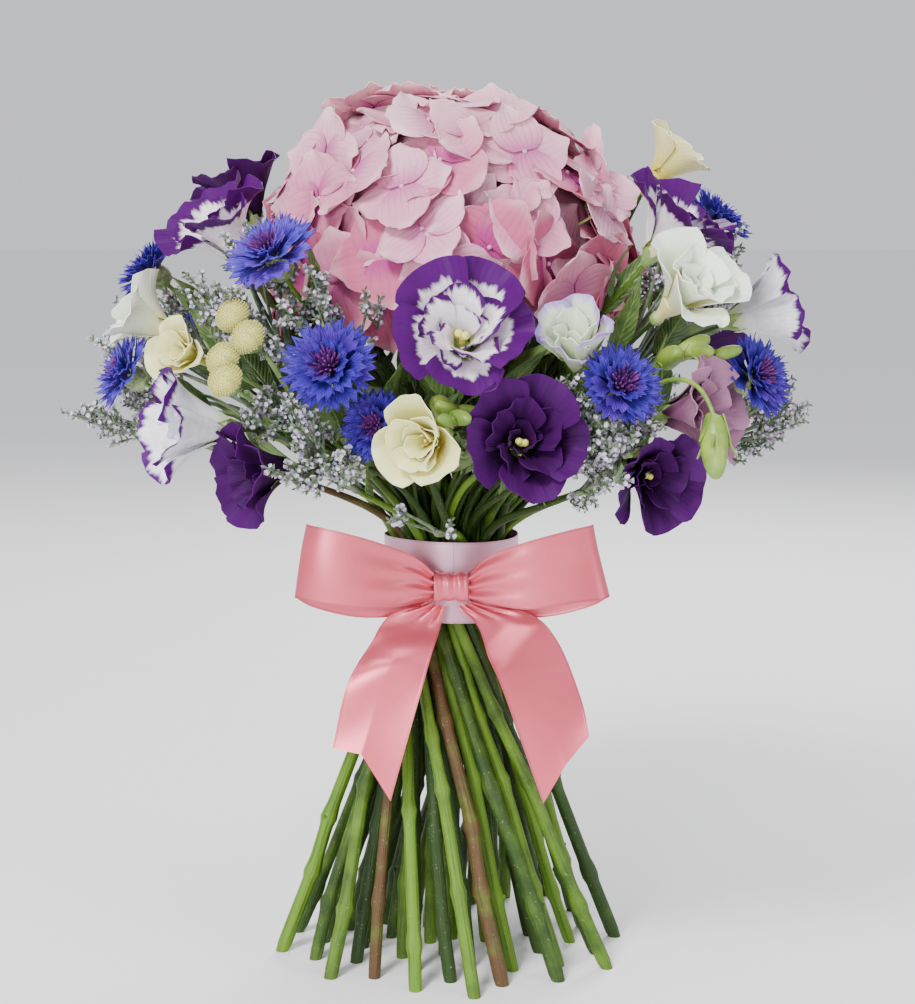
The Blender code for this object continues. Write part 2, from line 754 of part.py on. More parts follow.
def foot(seat, radius):
    """The straight lower stem: level cut ends, sheared between floor and binding."""
    top_height = TIE_HEIGHT - BINDING_HALF + 4 * MM
    low, high = stem_point(seat, 0), stem_point(seat, top_height)
    shape = bmesh.new()
    bmesh.ops.create_cone(
        shape, cap_ends=True, segments=STEM_SIDES, radius1=1.28 * radius, radius2=radius, depth=1
    )
    for vert in shape.verts:
        end = high if vert.co.z > 0 else low
        vert.co = Vector((vert.co.x + end.x, vert.co.y + end.y, end.z))
    return shape


def upper_stem(bouquet, seat, radius, base, facing):
    """Bends from the binding out to the base of its flower, clear of every other flower."""
    start = stem_point(seat, TIE_HEIGHT + BINDING_HALF - 4 * MM)
    course = (start - stem_point(seat, TIE_HEIGHT)).normalized()
    tip_radius = 0.6 * radius
    for steps, lift, swing, (first, second) in itertools.product(STEPS, LIFTS, SWINGS, BENDS):
        lifted = (facing + Vector((0, 0, lift))).normalized()
        arrive = Matrix.Rotation(math.radians(swing), 3, "Z") @ lifted
        end = base - facing * (GAP + tip_radius * facing.cross(arrive).length)
        gap = (end - start).length
        handles = [start, start + course * gap * first, end - arrive * gap * second, end]
        course_points = interpolate_bezier(*handles, steps + 1)
        radii = [radius + (tip_radius - radius) * index / steps for index in range(steps + 1)]
        mesh = as_mesh(rod(course_points, radii, UPPER_SIDES))
        if bouquet.is_clear(mesh, margin=0.6 * GAP):
            return mesh, course_points
        bpy.data.meshes.remove(mesh)
    return None


def wanted_seat(base):
    """Where in the binding a flower's stem belongs: its own side, one turn of the spiral on."""
    way = base - EYE
    level = math.hypot(way.x, way.y)
    share = min(1, 1.15 * level / way.length)
    if level < MM:
        return Vector()
    side = Matrix.Rotation(math.radians(22), 3, "Z") @ Vector((way.x, way.y, 0)).normalized()
    return side * share * BUNDLE_RADIUS


def leaf(length, width):
    def place(u, v):
        half = width / 2 * math.sin(math.pi * (0.06 + 0.94 * v) ** 0.8)
        sag = 0.25 * length * v * v
        return Vector((length * v, u * half, -sag + 0.22 * abs(u) * half)) * MM

    return blade(2, 2, place, 0.8 * MM)


def leaves_on(bouquet, courses, draw):
    """Slim leaves that leave the upper stems where there is room for them."""
    found = []
    step = max(1, len(courses) // LEAVES)
    for root, along in courses[::step]:
        for attempt in range(40):
            aside = Vector((draw.uniform(-1, 1), draw.uniform(-1, 1), draw.uniform(-0.2, 1)))
            turn = aimed((along + 0.8 * aside).normalized(), draw.uniform(0, math.tau))
            lie = Matrix.Translation(root) @ turn @ Matrix.Rotation(-math.pi / 2, 4, "Y")
            shape = moved(leaf(draw.uniform(34, 46), draw.uniform(10, 14)), lie)
            mesh = as_mesh(shape)
            if bouquet.is_clear(mesh):
                found.append(as_shape(mesh))
                break
            bpy.data.meshes.remove(mesh)
    return found


def binding_half(side):
    """One turn of the string that holds the stems: side -1 below the middle, 1 above it."""
    shape = bmesh.new()
    bmesh.ops.create_cone(
        shape,
        cap_ends=True,
        segments=16,
        radius1=BINDING_RADIUS,
        radius2=BINDING_RADIUS,
        depth=BINDING_HALF - GAP / 2,
    )
    middle = TIE_HEIGHT + side * (BINDING_HALF + GAP / 2) / 2
    return moved(shape, Matrix.Translation((0, 0, middle)))


def make_stems(bouquet):
    """The stems below the tie and the fan above it, each held by its half of the binding."""
    draw = random.Random(5)
    free = stem_seats(len(bouquet.seats))
    order = sorted(bouquet.seats, key=lambda seat: (seat[0] - EYE).normalized().z)
    lower = [binding_half(-1)]
    upper = [binding_half(1)]
    courses = []
    for base, facing in order:
        wanted = wanted_seat(base)
        free.sort(key=lambda seat: (seat - wanted).length)
        radius = draw.uniform(*STEM_RADII) * MM
        for seat in free[:NEAR_SEATS]:
            found = upper_stem(bouquet, seat, radius, base, facing)
            if found:
                free.remove(seat)
                mesh, points = found
                upper.append(as_shape(mesh))
                lower.append(foot(seat, radius))
                if (base - EYE).length > 110 * MM:
                    bend, end = points[len(points) // 2], points[-1]
                    courses.append((bend.lerp(end, 0.35), (end - bend).normalized()))
                break
        else:
            raise RuntimeError(f"no stem finds its way to {base}")
    upper += leaves_on(bouquet, courses, draw)
    bouquet.add("stems", fused(lower), "stem_green")
    bouquet.add("stem_fan", fused(upper), "stem_green")


def clear_scene():
    for thing in list(bpy.data.objects):
        bpy.data.objects.remove(thing)


def centre(bouquet):
    """Moves the whole bouquet so that its box is centred on the axis."""
    bpy.context.view_layer.update()
    pieces = [piece for piece in bouquet.collection.objects if piece.type == "MESH"]
    points = [piece.matrix_world @ vert.co for piece in pieces for vert in piece.data.vertices]
    for side in (0, 1):
        places = [point[side] for point in points]
        bouquet.middle.location[side] = -(min(places) + max(places)) / 2


def main():
    clear_scene()
    bouquet = Bouquet()
    make_ribbon(bouquet)
    hydrangea(bouquet)
    for name, kind, size, azimuth, height, reach, turned in FLOWERS:
        mesh, depth = MAKERS[kind](size)
        face = EYE + outward(azimuth, height) * reach * MM
        finish = kind.removesuffix("_back")
        bouquet.settle(name, mesh, finish, face, depth, outward(*turned) if turned else None)
    name, azimuth, height, reach = BUTTONS
    face = EYE + outward(azimuth, height) * reach * MM
    bouquet.settle(name, button_flowers(), "button_yellow", face, BUTTON_STALK)
    name, azimuth, height, reach = HANGING_BUD
    face = EYE + outward(azimuth, height) * reach * MM
    bouquet.settle(name, hanging_bud(), "bud_green", face, HANGING_STALK)
    for name, azimuth, height, reach, count in BUD_SPRAYS:
        face = EYE + outward(azimuth, height) * reach * MM
        bouquet.settle(name, freesia_buds(count), "bud_green", face, BUD_STALK)
    draw = random.Random(23)
    for row in SPRAYS:
        statice(bouquet, *row, draw)
    make_stems(bouquet)
    centre(bouquet)
    return bouquet


if __name__ == "__main__":
    main()
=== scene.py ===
"""Hydrangea bouquet: the petals, florets, stems and satin bow of a hand-tied posy.

Laid out as an add-on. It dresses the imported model, whose blooms, sprays and ribbon
give every place, and it is run as a script.
"""

import json
import math
import random
from functools import partial

import bpy
import numpy as np
from mathutils import Matrix, Vector
from mathutils.bvhtree import BVHTree
from mathutils.geometry import interpolate_bezier

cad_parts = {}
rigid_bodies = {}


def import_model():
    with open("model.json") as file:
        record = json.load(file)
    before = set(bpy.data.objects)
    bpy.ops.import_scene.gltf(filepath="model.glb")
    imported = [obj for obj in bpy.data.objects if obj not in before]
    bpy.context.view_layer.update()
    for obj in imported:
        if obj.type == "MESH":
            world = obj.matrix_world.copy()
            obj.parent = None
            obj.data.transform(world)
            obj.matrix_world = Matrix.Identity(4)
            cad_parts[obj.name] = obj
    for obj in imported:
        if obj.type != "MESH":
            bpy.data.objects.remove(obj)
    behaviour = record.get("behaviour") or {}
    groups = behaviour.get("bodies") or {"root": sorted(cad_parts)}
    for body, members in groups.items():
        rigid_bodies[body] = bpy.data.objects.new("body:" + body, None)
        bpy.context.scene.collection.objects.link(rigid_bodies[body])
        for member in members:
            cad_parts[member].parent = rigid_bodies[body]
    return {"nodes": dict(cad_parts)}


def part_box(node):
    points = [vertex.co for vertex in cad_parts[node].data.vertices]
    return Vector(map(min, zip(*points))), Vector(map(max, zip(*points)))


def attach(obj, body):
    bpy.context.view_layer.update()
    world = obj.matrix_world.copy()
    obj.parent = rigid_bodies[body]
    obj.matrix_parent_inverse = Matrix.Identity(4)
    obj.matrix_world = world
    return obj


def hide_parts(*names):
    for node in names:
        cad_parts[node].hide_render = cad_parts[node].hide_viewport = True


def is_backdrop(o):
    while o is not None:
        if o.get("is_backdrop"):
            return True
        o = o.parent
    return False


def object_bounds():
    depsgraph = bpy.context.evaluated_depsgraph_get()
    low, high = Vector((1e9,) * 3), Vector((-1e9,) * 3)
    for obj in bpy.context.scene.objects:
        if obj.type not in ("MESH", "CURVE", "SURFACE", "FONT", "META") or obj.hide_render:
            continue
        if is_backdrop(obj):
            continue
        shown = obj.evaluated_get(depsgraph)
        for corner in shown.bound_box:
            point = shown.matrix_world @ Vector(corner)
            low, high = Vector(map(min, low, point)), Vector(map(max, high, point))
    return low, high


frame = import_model()

bl_info = {
    "name": "Hydrangea Bouquet",
    "version": (1, 0, 0),
    "blender": (4, 5, 0),
    "location": "View3D > Sidebar > Bouquet",
    "description": "Dresses a hand-tied posy with petals, florets, leaves, stems and a satin bow",
    "category": "Object",
}

CAD_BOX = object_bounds()
MM = 0.001
GOLDEN_ANGLE = math.pi * (3 - math.sqrt(5))

# A seed for each operator that draws at random
SEEDS = {
    "hydrangea": 11,
    "lisianthus": 41,
    "cornflowers": 17,
    "freesias": 29,
    "buttons": 3,
    "buds": 13,
    "statice": 23,
    "stems": 5,
}

# What faces are made of, by slot of their piece: a flower's, and a stem's cut end
PETALS, GREEN, HEART = 0, 1, 2
CUT_END = 1

# A petal's thickness, the angle between faces from which an edge is sharp, and a direction that
# no course runs along, from which a tube's rings start
PETAL_THICK = 0.45 * MM
SHARP_ANGLE = 62
SKEW = (0.31, 0.52, 0.79)

# Places that the model fixes: the axis through the band, and the eye that flowers face away from
BAND_LOW, BAND_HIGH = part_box("ribbon_band")
AXIS = Vector(((BAND_LOW.x + BAND_HIGH.x) / 2, (BAND_LOW.y + BAND_HIGH.y) / 2, 0))
TIE_HEIGHT = (BAND_LOW.z + BAND_HIGH.z) / 2
BAND_RADIUS = (BAND_HIGH.x - BAND_LOW.x) / 2
BAND_HALF = (BAND_HIGH.z - BAND_LOW.z) / 2
EYE = AXIS + Vector((0, 0, 200 * MM))

# The hydrangea head's shell about its centre, and how many degrees from its top florets go
HEAD_CENTRE = AXIS + Vector((0, 0, 340 * MM))
HEAD_RADIUS = 84 * MM
HEAD_CROWN = 84 * MM
HEAD_SKIRT = 50 * MM
HEAD_BASE = 37 * MM
HEAD_EDGE = 106
FLORET_TILT = 0.36
FLORET_KINDS = 7

# The core under the florets: its radius and skirt in mm, its rings as shares of them from the
# bottom up, and the stalks that branch up to it
CORE_RADIUS = 76
CORE_SKIRT = 40
CORE_RINGS = (
    (0.02, -0.84),
    (0.5, -0.76),
    (0.86, -0.48),
    (1.0, 0.0),
    (0.9, 0.42),
    (0.62, 0.76),
    (0.1, 0.98),
)
HEAD_STALKS = 30

# The stems: their seats in the binding, how they turn as they fall, how far a seat is turned
# from its flower's side in degrees, how their tubes are divided, and the room beside a flower
BUNDLE_RADIUS = 27.6 * MM
BINDING_HALF = 15 * MM
STEM_OVERLAP = 4 * MM
SPIRAL = 16.2
SEAT_TURN = 22
STEM_RINGS = 48
STEM_SIDES = 12
COURSE_POINTS = 16
CLEAR_ROOM = 0.4 * MM

# Thin stems: the heights that they lean to, in degrees, and how far out they end, in mm
THIN_HEIGHTS = (30, 64)
THIN_REACH = (95, 138)

# Where along a stem its knuckles lie, how far it bends there in mm, and a knuckle's share of it
KNUCKLE_ZONES = ((0.10, 0.26), (0.36, 0.52), (0.62, 0.84))
KNUCKLE_BEND = 1.7
KNUCKLE_LENGTH = 0.017

# Stems whose feet stand by these places, in mm, are woody
WOODY_FEET = ((34, -71, 0), (-26, -66, 0), (62, -28, 0), (-50, 40, 0), (20, 70, 0))
WOODY_REACH = 6 * MM
WOODY_TINT = 0.95

# The points of a course where leaves grow, how many do, how low and how near a flower they may
# hang, and how many ways each is tried
LEAF_POINTS = range(8, 14)
STEM_LEAVES = 3
LEAF_LOW = TIE_HEIGHT + 52 * MM
LEAF_ROOM = 1.5 * MM
LEAF_TRIES = 24

# Flowers: node, kind, size, and the azimuth and height in degrees that it faces
FLOWERS = (
    ("lisianthus_front", "bicolour", 1.00, 0, 24),
    ("lisianthus_violet_front", "violet", 0.92, 8, 14),
    ("lisianthus_left", "bicolour_bell", 0.95, -68, 6),
    ("lisianthus_left_crown", "bicolour", 0.90, -63, 53),
    ("lisianthus_right_crown", "bicolour", 0.95, 64, 52),
    ("lisianthus_right", "bicolour_bell", 0.92, 88, 20),
    ("lisianthus_violet_left", "violet", 0.80, -60, -6),
    ("lisianthus_violet_right", "violet", 0.80, 30, -14),
    ("lisianthus_half_open", "half_open", 0.80, -10, 40),
    ("lisianthus_back_left", "violet", 0.85, -100, 66),
    ("lisianthus_mauve", "mauve", 0.85, 58, 8),
    ("lisianthus_back", "bicolour", 1.12, -174, 40),
    ("lisianthus_back_right", "violet", 1.00, 120, 36),
    ("lisianthus_back_low", "bicolour_bell", 1.00, -146, 26),
    ("cornflower_left_crown", "cornflower", 1.08, -36, 48),
    ("cornflower_front", "deep_cornflower", 1.05, -14, 22),
    ("cornflower_left", "cornflower", 0.92, -70, 30),
    ("cornflower_right", "deep_cornflower", 0.98, 48, 22),
    ("cornflower_front_right", "deep_cornflower", 0.95, 20, 30),
    ("cornflower_right_crown", "deep_cornflower", 0.90, 86, 52),
    ("cornflower_left_rim", "deep_cornflower", 0.90, -84, 44),
    ("cornflower_low", "deep_cornflower", 0.78, -20, 10),
    ("cornflower_back_right", "cornflower", 1.08, 146, 46),
    ("cornflower_back", "deep_cornflower", 1.05, -148, 52),
    ("cornflower_back_left", "cornflower", 1.05, -118, 36),
    ("freesia_front", "cream_freesia", 0.98, -26, -4),
    ("freesia_right", "white_freesia", 1.12, 38, 34),
    ("freesia_left", "white_freesia", 0.95, -84, 30),
    ("freesia_small", "cream_freesia", 0.72, -32, 16),
    ("freesia_crown", "cream_freesia", 0.85, 80, 50),
    ("freesia_back", "white_freesia", 1.12, 158, 26),
)

# How each kind of lisianthus opens
LISIANTHUS_KINDS = {
    "bicolour": {},
    "bicolour_bell": {"open_to": 52, "inner_to": 20, "throat": 2.4},
    "violet": {"open_to": 66, "inner_to": 26, "throat": 2.8, "inner": 4},
    "half_open": {"open_to": 30, "inner_to": 14, "outer": 4, "throat": 2.2},
    "mauve": {},
}

# Its colours of petal, rim and throat, where along a petal the rim starts and is full, how ragged
# the rim is, and the roughness
LISIANTHUS_COLOURS = {
    "bicolour": ((0.86, 0.78, 0.86), (0.064, 0.0015, 0.105), (0.72, 0.70, 0.38), 0.70, 0.79, 0.17),
    "bicolour_bell": ((0.84, 0.82, 0.90), (0.070, 0.003, 0.13), (0.60, 0.68, 0.40), 0.90, 1.00, 0.16),
    # The violet kind's near-black throat is painted shade deep in its cup
    "violet": ((0.022, 0.001, 0.034), (0.050, 0.002, 0.082), (0.006, 0.001, 0.009), 0.40, 1.05, 0.3, 0.6),
    "half_open": ((0.76, 0.86, 0.66), (0.42, 0.28, 0.66), (0.50, 0.64, 0.26), 0.78, 1.05, 0.15),
    # The mauve kind's petal and rim colours are partly its own dusky mauve and partly painted shade; its
    # dark throat is painted shade deep in its cup
    "mauve": ((0.24, 0.09, 0.18), (0.34, 0.16, 0.26), (0.08, 0.02, 0.06), 0.35, 0.95, 0.3),
}

# Each kind of cornflower: the name of its finish, and its light, deep and violet colours
CORNFLOWER_KINDS = {
    "cornflower": ("light rays", (0.085, 0.055, 0.50), (0.018, 0.007, 0.22), (0.14, 0.040, 0.44)),
    "deep_cornflower": ("deep rays", (0.046, 0.022, 0.36), (0.008, 0.003, 0.14), (0.080, 0.016, 0.32)),
}

# Each kind of freesia: whether it is double, its finish, and its petal, rim and throat colours
FREESIA_KINDS = {
    "cream_freesia": (False, "cream petals", (0.70, 0.67, 0.23), (0.77, 0.75, 0.38), (0.64, 0.52, 0.05)),
    "white_freesia": (True, "white petals", (0.80, 0.86, 0.66), (0.86, 0.90, 0.80), (0.72, 0.70, 0.26)),
}

# Statice: node, azimuth, height angle, reach of its tips in mm, a third of its twigs, half spread
SPRAYS = (
    ("statice_left_tip", -80, 25, 200, 5, 13),
    ("statice_left_rim", -93, 36, 206, 5, 16),
    ("statice_left_crown", -50, 46, 206, 6, 17),
    ("statice_left_middle", -29, 42, 196, 6, 15),
    ("statice_left_low", -28, 24, 180, 7, 19),
    ("statice_front_sprig", -4, 14, 164, 1, 8),
    ("statice_middle", 21, 27, 184, 5, 13),
    ("statice_right_low", 36, 22, 180, 6, 17),
    ("statice_right_tip", 76, 24, 194, 5, 14),
    ("statice_right_crown", 72, 50, 216, 4, 14),
    ("statice_back_right", 104, 44, 198, 6, 18),
    ("statice_back", 170, 30, 188, 5, 18),
    ("statice_back_left", -126, 46, 192, 5, 18),
    ("statice_back_low", 134, 24, 176, 5, 16),
)

# Where a spray's root lies on the way to its tips, the most forks of a twig, how many places are
# tried for a tip, how far it stays from a flower, and where outside the posy the view of it
# starts and how deep it goes past it without a flower
SPRAY_ROOT = 0.56
MOST_FORKS = 5
TWIG_TRIES = 40
TWIG_ROOM = 5 * MM
VIEW_START = 0.3
TWIG_VIEW = 45 * MM

# The button flowers: node, azimuth and height angle, places of the heads in mm, stalk, and the
# domes with their radius in mm, how flat they are, and the tubes on each
BUTTONS = ("button_flowers", -37, 35)
BUTTON_PLACES = ((-9, 15), (6, 5), (-2, -7), (5, -17))
BUTTON_STALK = 58 * MM
BUTTON_DOME = 7.1
BUTTON_FLAT = 0.72
BUTTON_TUBES = 250

# Buds: node, azimuth, height angle, and the buds on a stalk
BUD_SPRAYS = (
    ("freesia_buds_front", 6, 28, 5),
    ("freesia_buds_right", 50, 34, 4),
    ("freesia_buds_back", 172, 54, 3),
)
HANGING_BUD = ("lisianthus_bud", 36, 32)

# Ways a stem may reach its flower, tried in turn until one is clear: how far it comes from
# above, how far it swings round in degrees, and how much of the gap its two bends take
LIFTS = (0, 0.35, 0.8, 1.6, -0.3)
SWINGS = (0, 14, -14, 28, -28)
BENDS = ((0.30, 0.35), (0.22, 0.20), (0.45, 0.30), (0.30, 0.55), (0.55, 0.12))

# The camera at the photograph's angle: place from the axis, fall in degrees, lens and sensor
CAMERA_SIDE = 3 * MM
CAMERA_BACK = 1.05
CAMERA_HEIGHT = 0.36
CAMERA_FALL = 7.3
CAMERA_LENS = 76.0
CAMERA_SENSOR = 36

# The studio: floor, sky, the height that is lit, and lamps with place, size and power
FLOOR_HALF = 40.0
FLOOR_CORNERS = ((-1, -1), (1, -1), (1, 1), (-1, 1))
SKY_COLOUR = (0.95, 0.96, 1.0, 1)
SKY_STRENGTH = 0.85
LIT_HEIGHT = 0.25
LAMPS = (
    ("key", (-0.7, -1.2, 1.6), 0.55, 44.0),
    ("fill", (1.4, -1.0, 0.7), 0.9, 8.0),
    ("back", (0.4, 1.4, 1.3), 0.9, 26.0),
    ("gloss", (-0.5, -1.6, 0.45), 0.45, 16.0),
)


# Places and directions


def outward(azimuth, height):
    """Unit direction: azimuth turns from the front towards +X, height rises from level."""
    azimuth, height = math.radians(azimuth), math.radians(height)
    level = math.cos(height)
    return Vector((math.sin(azimuth) * level, -math.cos(azimuth) * level, math.sin(height)))


def aimed(direction, roll=0.0):
    """A turn that carries +Z to the direction, after a roll about +Z."""
    return direction.to_track_quat("Z", "Y").to_matrix().to_4x4() @ Matrix.Rotation(roll, 4, "Z")


def spun(index, level=1.0, rise=0.0, start=0.0):
    """A place beside the axis. Each index is a golden angle further round than the last."""
    angle = index * GOLDEN_ANGLE + start
    return Vector((math.cos(angle) * level, math.sin(angle) * level, rise))


def course_of(points, size, turn=Matrix.Identity(3)):
    """Points in mm made larger or smaller, turned, and given in metres."""
    return [turn @ Vector(point) * size * MM for point in points]


def scaled(profile, size):
    """The (radius, height) pairs of a profile made larger or smaller."""
    return [(radius * size, height * size) for radius, height in profile]


def stem_point(seat, height):
    """Where the straight stem through this seat in the binding passes the height."""
    drop = SPIRAL * (TIE_HEIGHT - height)
    return AXIS + Vector((seat.x - drop * seat.y, seat.y + drop * seat.x, height))


# Shapes: thin sheets and round tubes, gathered into one mesh


def lattice(rows, columns):
    """Across from -1 to 1, and along from 0 to 1, at every point of a sheet."""
    return np.meshgrid(np.linspace(-1, 1, columns), np.linspace(0, 1, rows))


def turned(points, matrix):
    """The points carried by a 4x4 matrix."""
    matrix = np.array(matrix)
    return points @ matrix[:3, :3].T + matrix[:3, 3]


def marked(across, along, tint):
    """The marks of a sheet's points: across, along, and one tint for all."""
    return np.stack([across, along, np.full_like(along, tint)], axis=-1)


class Shape:
    """Sheets and tubes, with across, along and a tint marked at every point."""

    def __init__(self):
        self.points = []
        self.marks = []
        self.faces = []
        self.finishes = []
        self.count = 0

    def grid(self, points, marks, finish, wrap=False, flip=False):
        """Rows by columns of points as quads. Wrap joins the last column to the first."""
        rows, columns = points.shape[:2]
        index = np.arange(rows * columns).reshape(rows, columns) + self.count
        near = index if wrap else index[:, :-1]
        far = np.roll(index, -1, axis=1) if wrap else index[:, 1:]
        self.quads(near[:-1], far[:-1], far[1:], near[1:], finish, flip)
        self.points.append(points.reshape(-1, 3))
        self.marks.append(marks.reshape(-1, 3))
        self.count += rows * columns
        return index

    def quads(self, a, b, c, d, finish, flip=False):
        """Faces of four corners, taken in turn from the four lists."""
        corners = (d, c, b, a) if flip else (a, b, c, d)
        faces = np.stack(corners, axis=-1).reshape(-1, 4)
        self.faces += faces.tolist()
        self.finishes += [finish] * len(faces)

    def cap(self, ring, finish):
        """One face that closes a ring."""
        self.faces.append(list(ring))
        self.finishes.append(finish)

    def sheet(self, points, marks, thick, finish=0):
        """A sheet with a front, a back and a rim between them."""
        side = np.gradient(points, axis=1)
        run = np.gradient(points, axis=0)
        normal = np.cross(side, run)
        normal /= np.linalg.norm(normal, axis=-1, keepdims=True) + 1e-12
        front = self.grid(points + normal * thick / 2, marks, finish)
        back = self.grid(points - normal * thick / 2, marks, finish, flip=True)
        around = [
            (front[0], back[0], True),
            (front[:, -1], back[:, -1], True),
            (front[-1], back[-1], False),
            (front[:, 0], back[:, 0], False),
        ]
        for near, far, flip in around:
            self.quads(near[:-1], near[1:], far[1:], far[:-1], finish, flip)

    def tube(self, course, radii, sides=8, tint=0.5, finish=0, end=None, span=(0, 1)):
        """A round tube through the course with its radii in mm, closed at both ends."""
        course = np.array(course, float)
        runs = np.gradient(course, axis=0)
        runs /= np.linalg.norm(runs, axis=1, keepdims=True)
        angle = np.linspace(0, math.tau, sides, endpoint=False)
        side = np.cross(runs[0], SKEW)
        rings = []
        for point, run, radius in zip(course, runs, radii):
            side = side - run * (side @ run)
            side /= np.linalg.norm(side)
            other = np.cross(run, side)
            ring = np.outer(np.cos(angle), side) + np.outer(np.sin(angle), other)
            rings.append(point + radius * MM * ring)
        along = np.linspace(*span, len(course))[:, None] + np.zeros(sides)
        across = np.zeros(len(course))[:, None] + np.linspace(-1, 1, sides)
        index = self.grid(np.array(rings), marked(across, along, tint), finish, wrap=True)
        self.cap(index[0][::-1], finish if end is None else end)
        self.cap(index[-1], finish)

    def turn(self, profile, sides, tint=0.5, finish=0, place=Matrix(), relief=None, span=(0, 1)):
        """A round shape from (radius, height) pairs in mm, its along running with the pairs."""
        radii, heights = np.array(profile, float).T * MM
        angle = np.linspace(0, math.tau, sides, endpoint=False)
        angle, radius = np.meshgrid(angle, radii)
        height = np.repeat(heights[:, None], sides, axis=1)
        share = np.linspace(0, 1, len(radii))[:, None] + np.zeros(sides)
        if relief:
            radius = radius * (1 + relief(angle, share))
        points = np.stack([radius * np.cos(angle), radius * np.sin(angle), height], axis=-1)
        along = span[0] + (span[1] - span[0]) * share
        marks = marked(angle / math.pi - 1, along, tint)
        index = self.grid(turned(points, place), marks, finish, wrap=True)
        self.cap(index[0][::-1], finish)
        self.cap(index[-1], finish)

    def absorb(self, other, matrix):
        """Takes in another shape, carried by the matrix."""
        self.points += [turned(points, matrix) for points in other.points]
        self.marks += other.marks
        self.faces += [[corner + self.count for corner in face] for face in other.faces]
        self.finishes += other.finishes
        self.count += other.count

    def mesh(self, name, tinted=True):
        """The shape as a mesh. A floret goes without tints, which its scattering gives it."""
        mesh = bpy.data.meshes.new(name)
        mesh.from_pydata(np.concatenate(self.points), [], self.faces)
        marks = np.concatenate(self.marks)
        places = mesh.attributes.new("marks", "FLOAT_VECTOR", "POINT")
        places.data.foreach_set("vector", marks.ravel())
        if tinted:
            tints = mesh.attributes.new("tint", "FLOAT", "POINT")
            tints.data.foreach_set("value", np.ascontiguousarray(marks[:, 2]))
        mesh.polygons.foreach_set("material_index", self.finishes)
        smoothed(mesh)
        return mesh


def smoothed(mesh):
    """Smooth faces with sharp rims."""
    mesh.shade_smooth()
    mesh.set_sharp_from_angle(angle=math.radians(SHARP_ANGLE))
    mesh.update()


def add_piece(name, mesh, finishes, nodes=()):
    """Puts a finished mesh in the scene, riding on the root body."""
    for finish in finishes:
        mesh.materials.append(finish)
    piece = bpy.data.objects.new(name, mesh)
    bpy.context.scene.collection.objects.link(piece)
    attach(piece, "root")
    if nodes:
        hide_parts(*nodes)
    return piece


# Nodes, for a tree or a material


def add_node(tree, kind, settings=(), links=()):
    """A node of this type, with its settings, then the values or links of its sockets."""
    made = tree.nodes.new(kind)
    for key, value in dict(settings).items():
        setattr(made, key, value)
    for key, value in dict(links).items():
        socket = made.inputs[key]
        if isinstance(value, Term):
            value = value.socket
        if isinstance(value, bpy.types.NodeSocket):
            tree.links.new(value, socket)
        elif socket.type == "RGBA" and len(value) == 3:
            socket.default_value = (*value, 1)
        else:
            socket.default_value = value
    return made


# Geometry Nodes: florets set on points, each turned the way its point faces


def scatter_tree():
    """A tree that sets prototypes on points, with named inputs, and makes them one mesh."""
    known = bpy.data.node_groups.get("Scatter florets")
    if known:
        return known
    tree = bpy.data.node_groups.new("Scatter florets", "GeometryNodeTree")
    sockets = (
        ("Geometry", "INPUT", "NodeSocketGeometry"),
        ("Florets", "INPUT", "NodeSocketCollection"),
        ("Seed", "INPUT", "NodeSocketInt"),
        ("Smallest", "INPUT", "NodeSocketFloat"),
        ("Largest", "INPUT", "NodeSocketFloat"),
        ("Finish", "INPUT", "NodeSocketMaterial"),
        ("Geometry", "OUTPUT", "NodeSocketGeometry"),
    )
    for name, way, kind in sockets:
        tree.interface.new_socket(name, in_out=way, socket_type=kind)

    node = partial(add_node, tree)
    given = node("NodeGroupInput").outputs
    draw = {"data_type": "FLOAT"}
    kinds = node(
        "GeometryNodeCollectionInfo",
        links={"Collection": given["Florets"], "Separate Children": True, "Reset Children": True},
    )
    facing = node(
        "GeometryNodeInputNamedAttribute",
        {"data_type": "FLOAT_VECTOR"},
        {"Name": "facing"},
    )
    aim = node(
        "FunctionNodeAlignRotationToVector",
        {"axis": "Z"},
        {"Vector": facing.outputs["Attribute"]},
    )
    roll = node("FunctionNodeRandomValue", draw, {3: math.tau, 8: given["Seed"]})
    about = node(
        "FunctionNodeAxisAngleToRotation",
        links={"Axis": (0, 0, 1), "Angle": roll.outputs[1]},
    )
    turn = node(
        "FunctionNodeRotateRotation",
        {"rotation_space": "LOCAL"},
        {"Rotation": aim.outputs[0], "Rotate By": about.outputs[0]},
    )
    size = node(
        "FunctionNodeRandomValue",
        draw,
        {2: given["Smallest"], 3: given["Largest"], 8: given["Seed"]},
    )
    pick = node(
        "FunctionNodeRandomValue",
        {"data_type": "INT"},
        {4: 0, 5: 64, 8: given["Seed"]},
    )
    placed = node(
        "GeometryNodeInstanceOnPoints",
        links={
            "Points": given["Geometry"],
            "Instance": kinds.outputs[0],
            "Pick Instance": True,
            "Instance Index": pick.outputs[2],
            "Rotation": turn.outputs[0],
            "Scale": size.outputs[1],
        },
    )
    chance = node("FunctionNodeRandomValue", draw, {8: given["Seed"]})
    tinted = node(
        "GeometryNodeStoreNamedAttribute",
        {"data_type": "FLOAT", "domain": "INSTANCE"},
        {"Geometry": placed.outputs[0], "Name": "tint", "Value": chance.outputs[1]},
    )
    real = node("GeometryNodeRealizeInstances", links={"Geometry": tinted.outputs[0]})
    painted = node(
        "GeometryNodeSetMaterial",
        links={"Geometry": real.outputs[0], "Material": given["Finish"]},
    )
    node("NodeGroupOutput", links={"Geometry": painted.outputs[0]})
    return tree


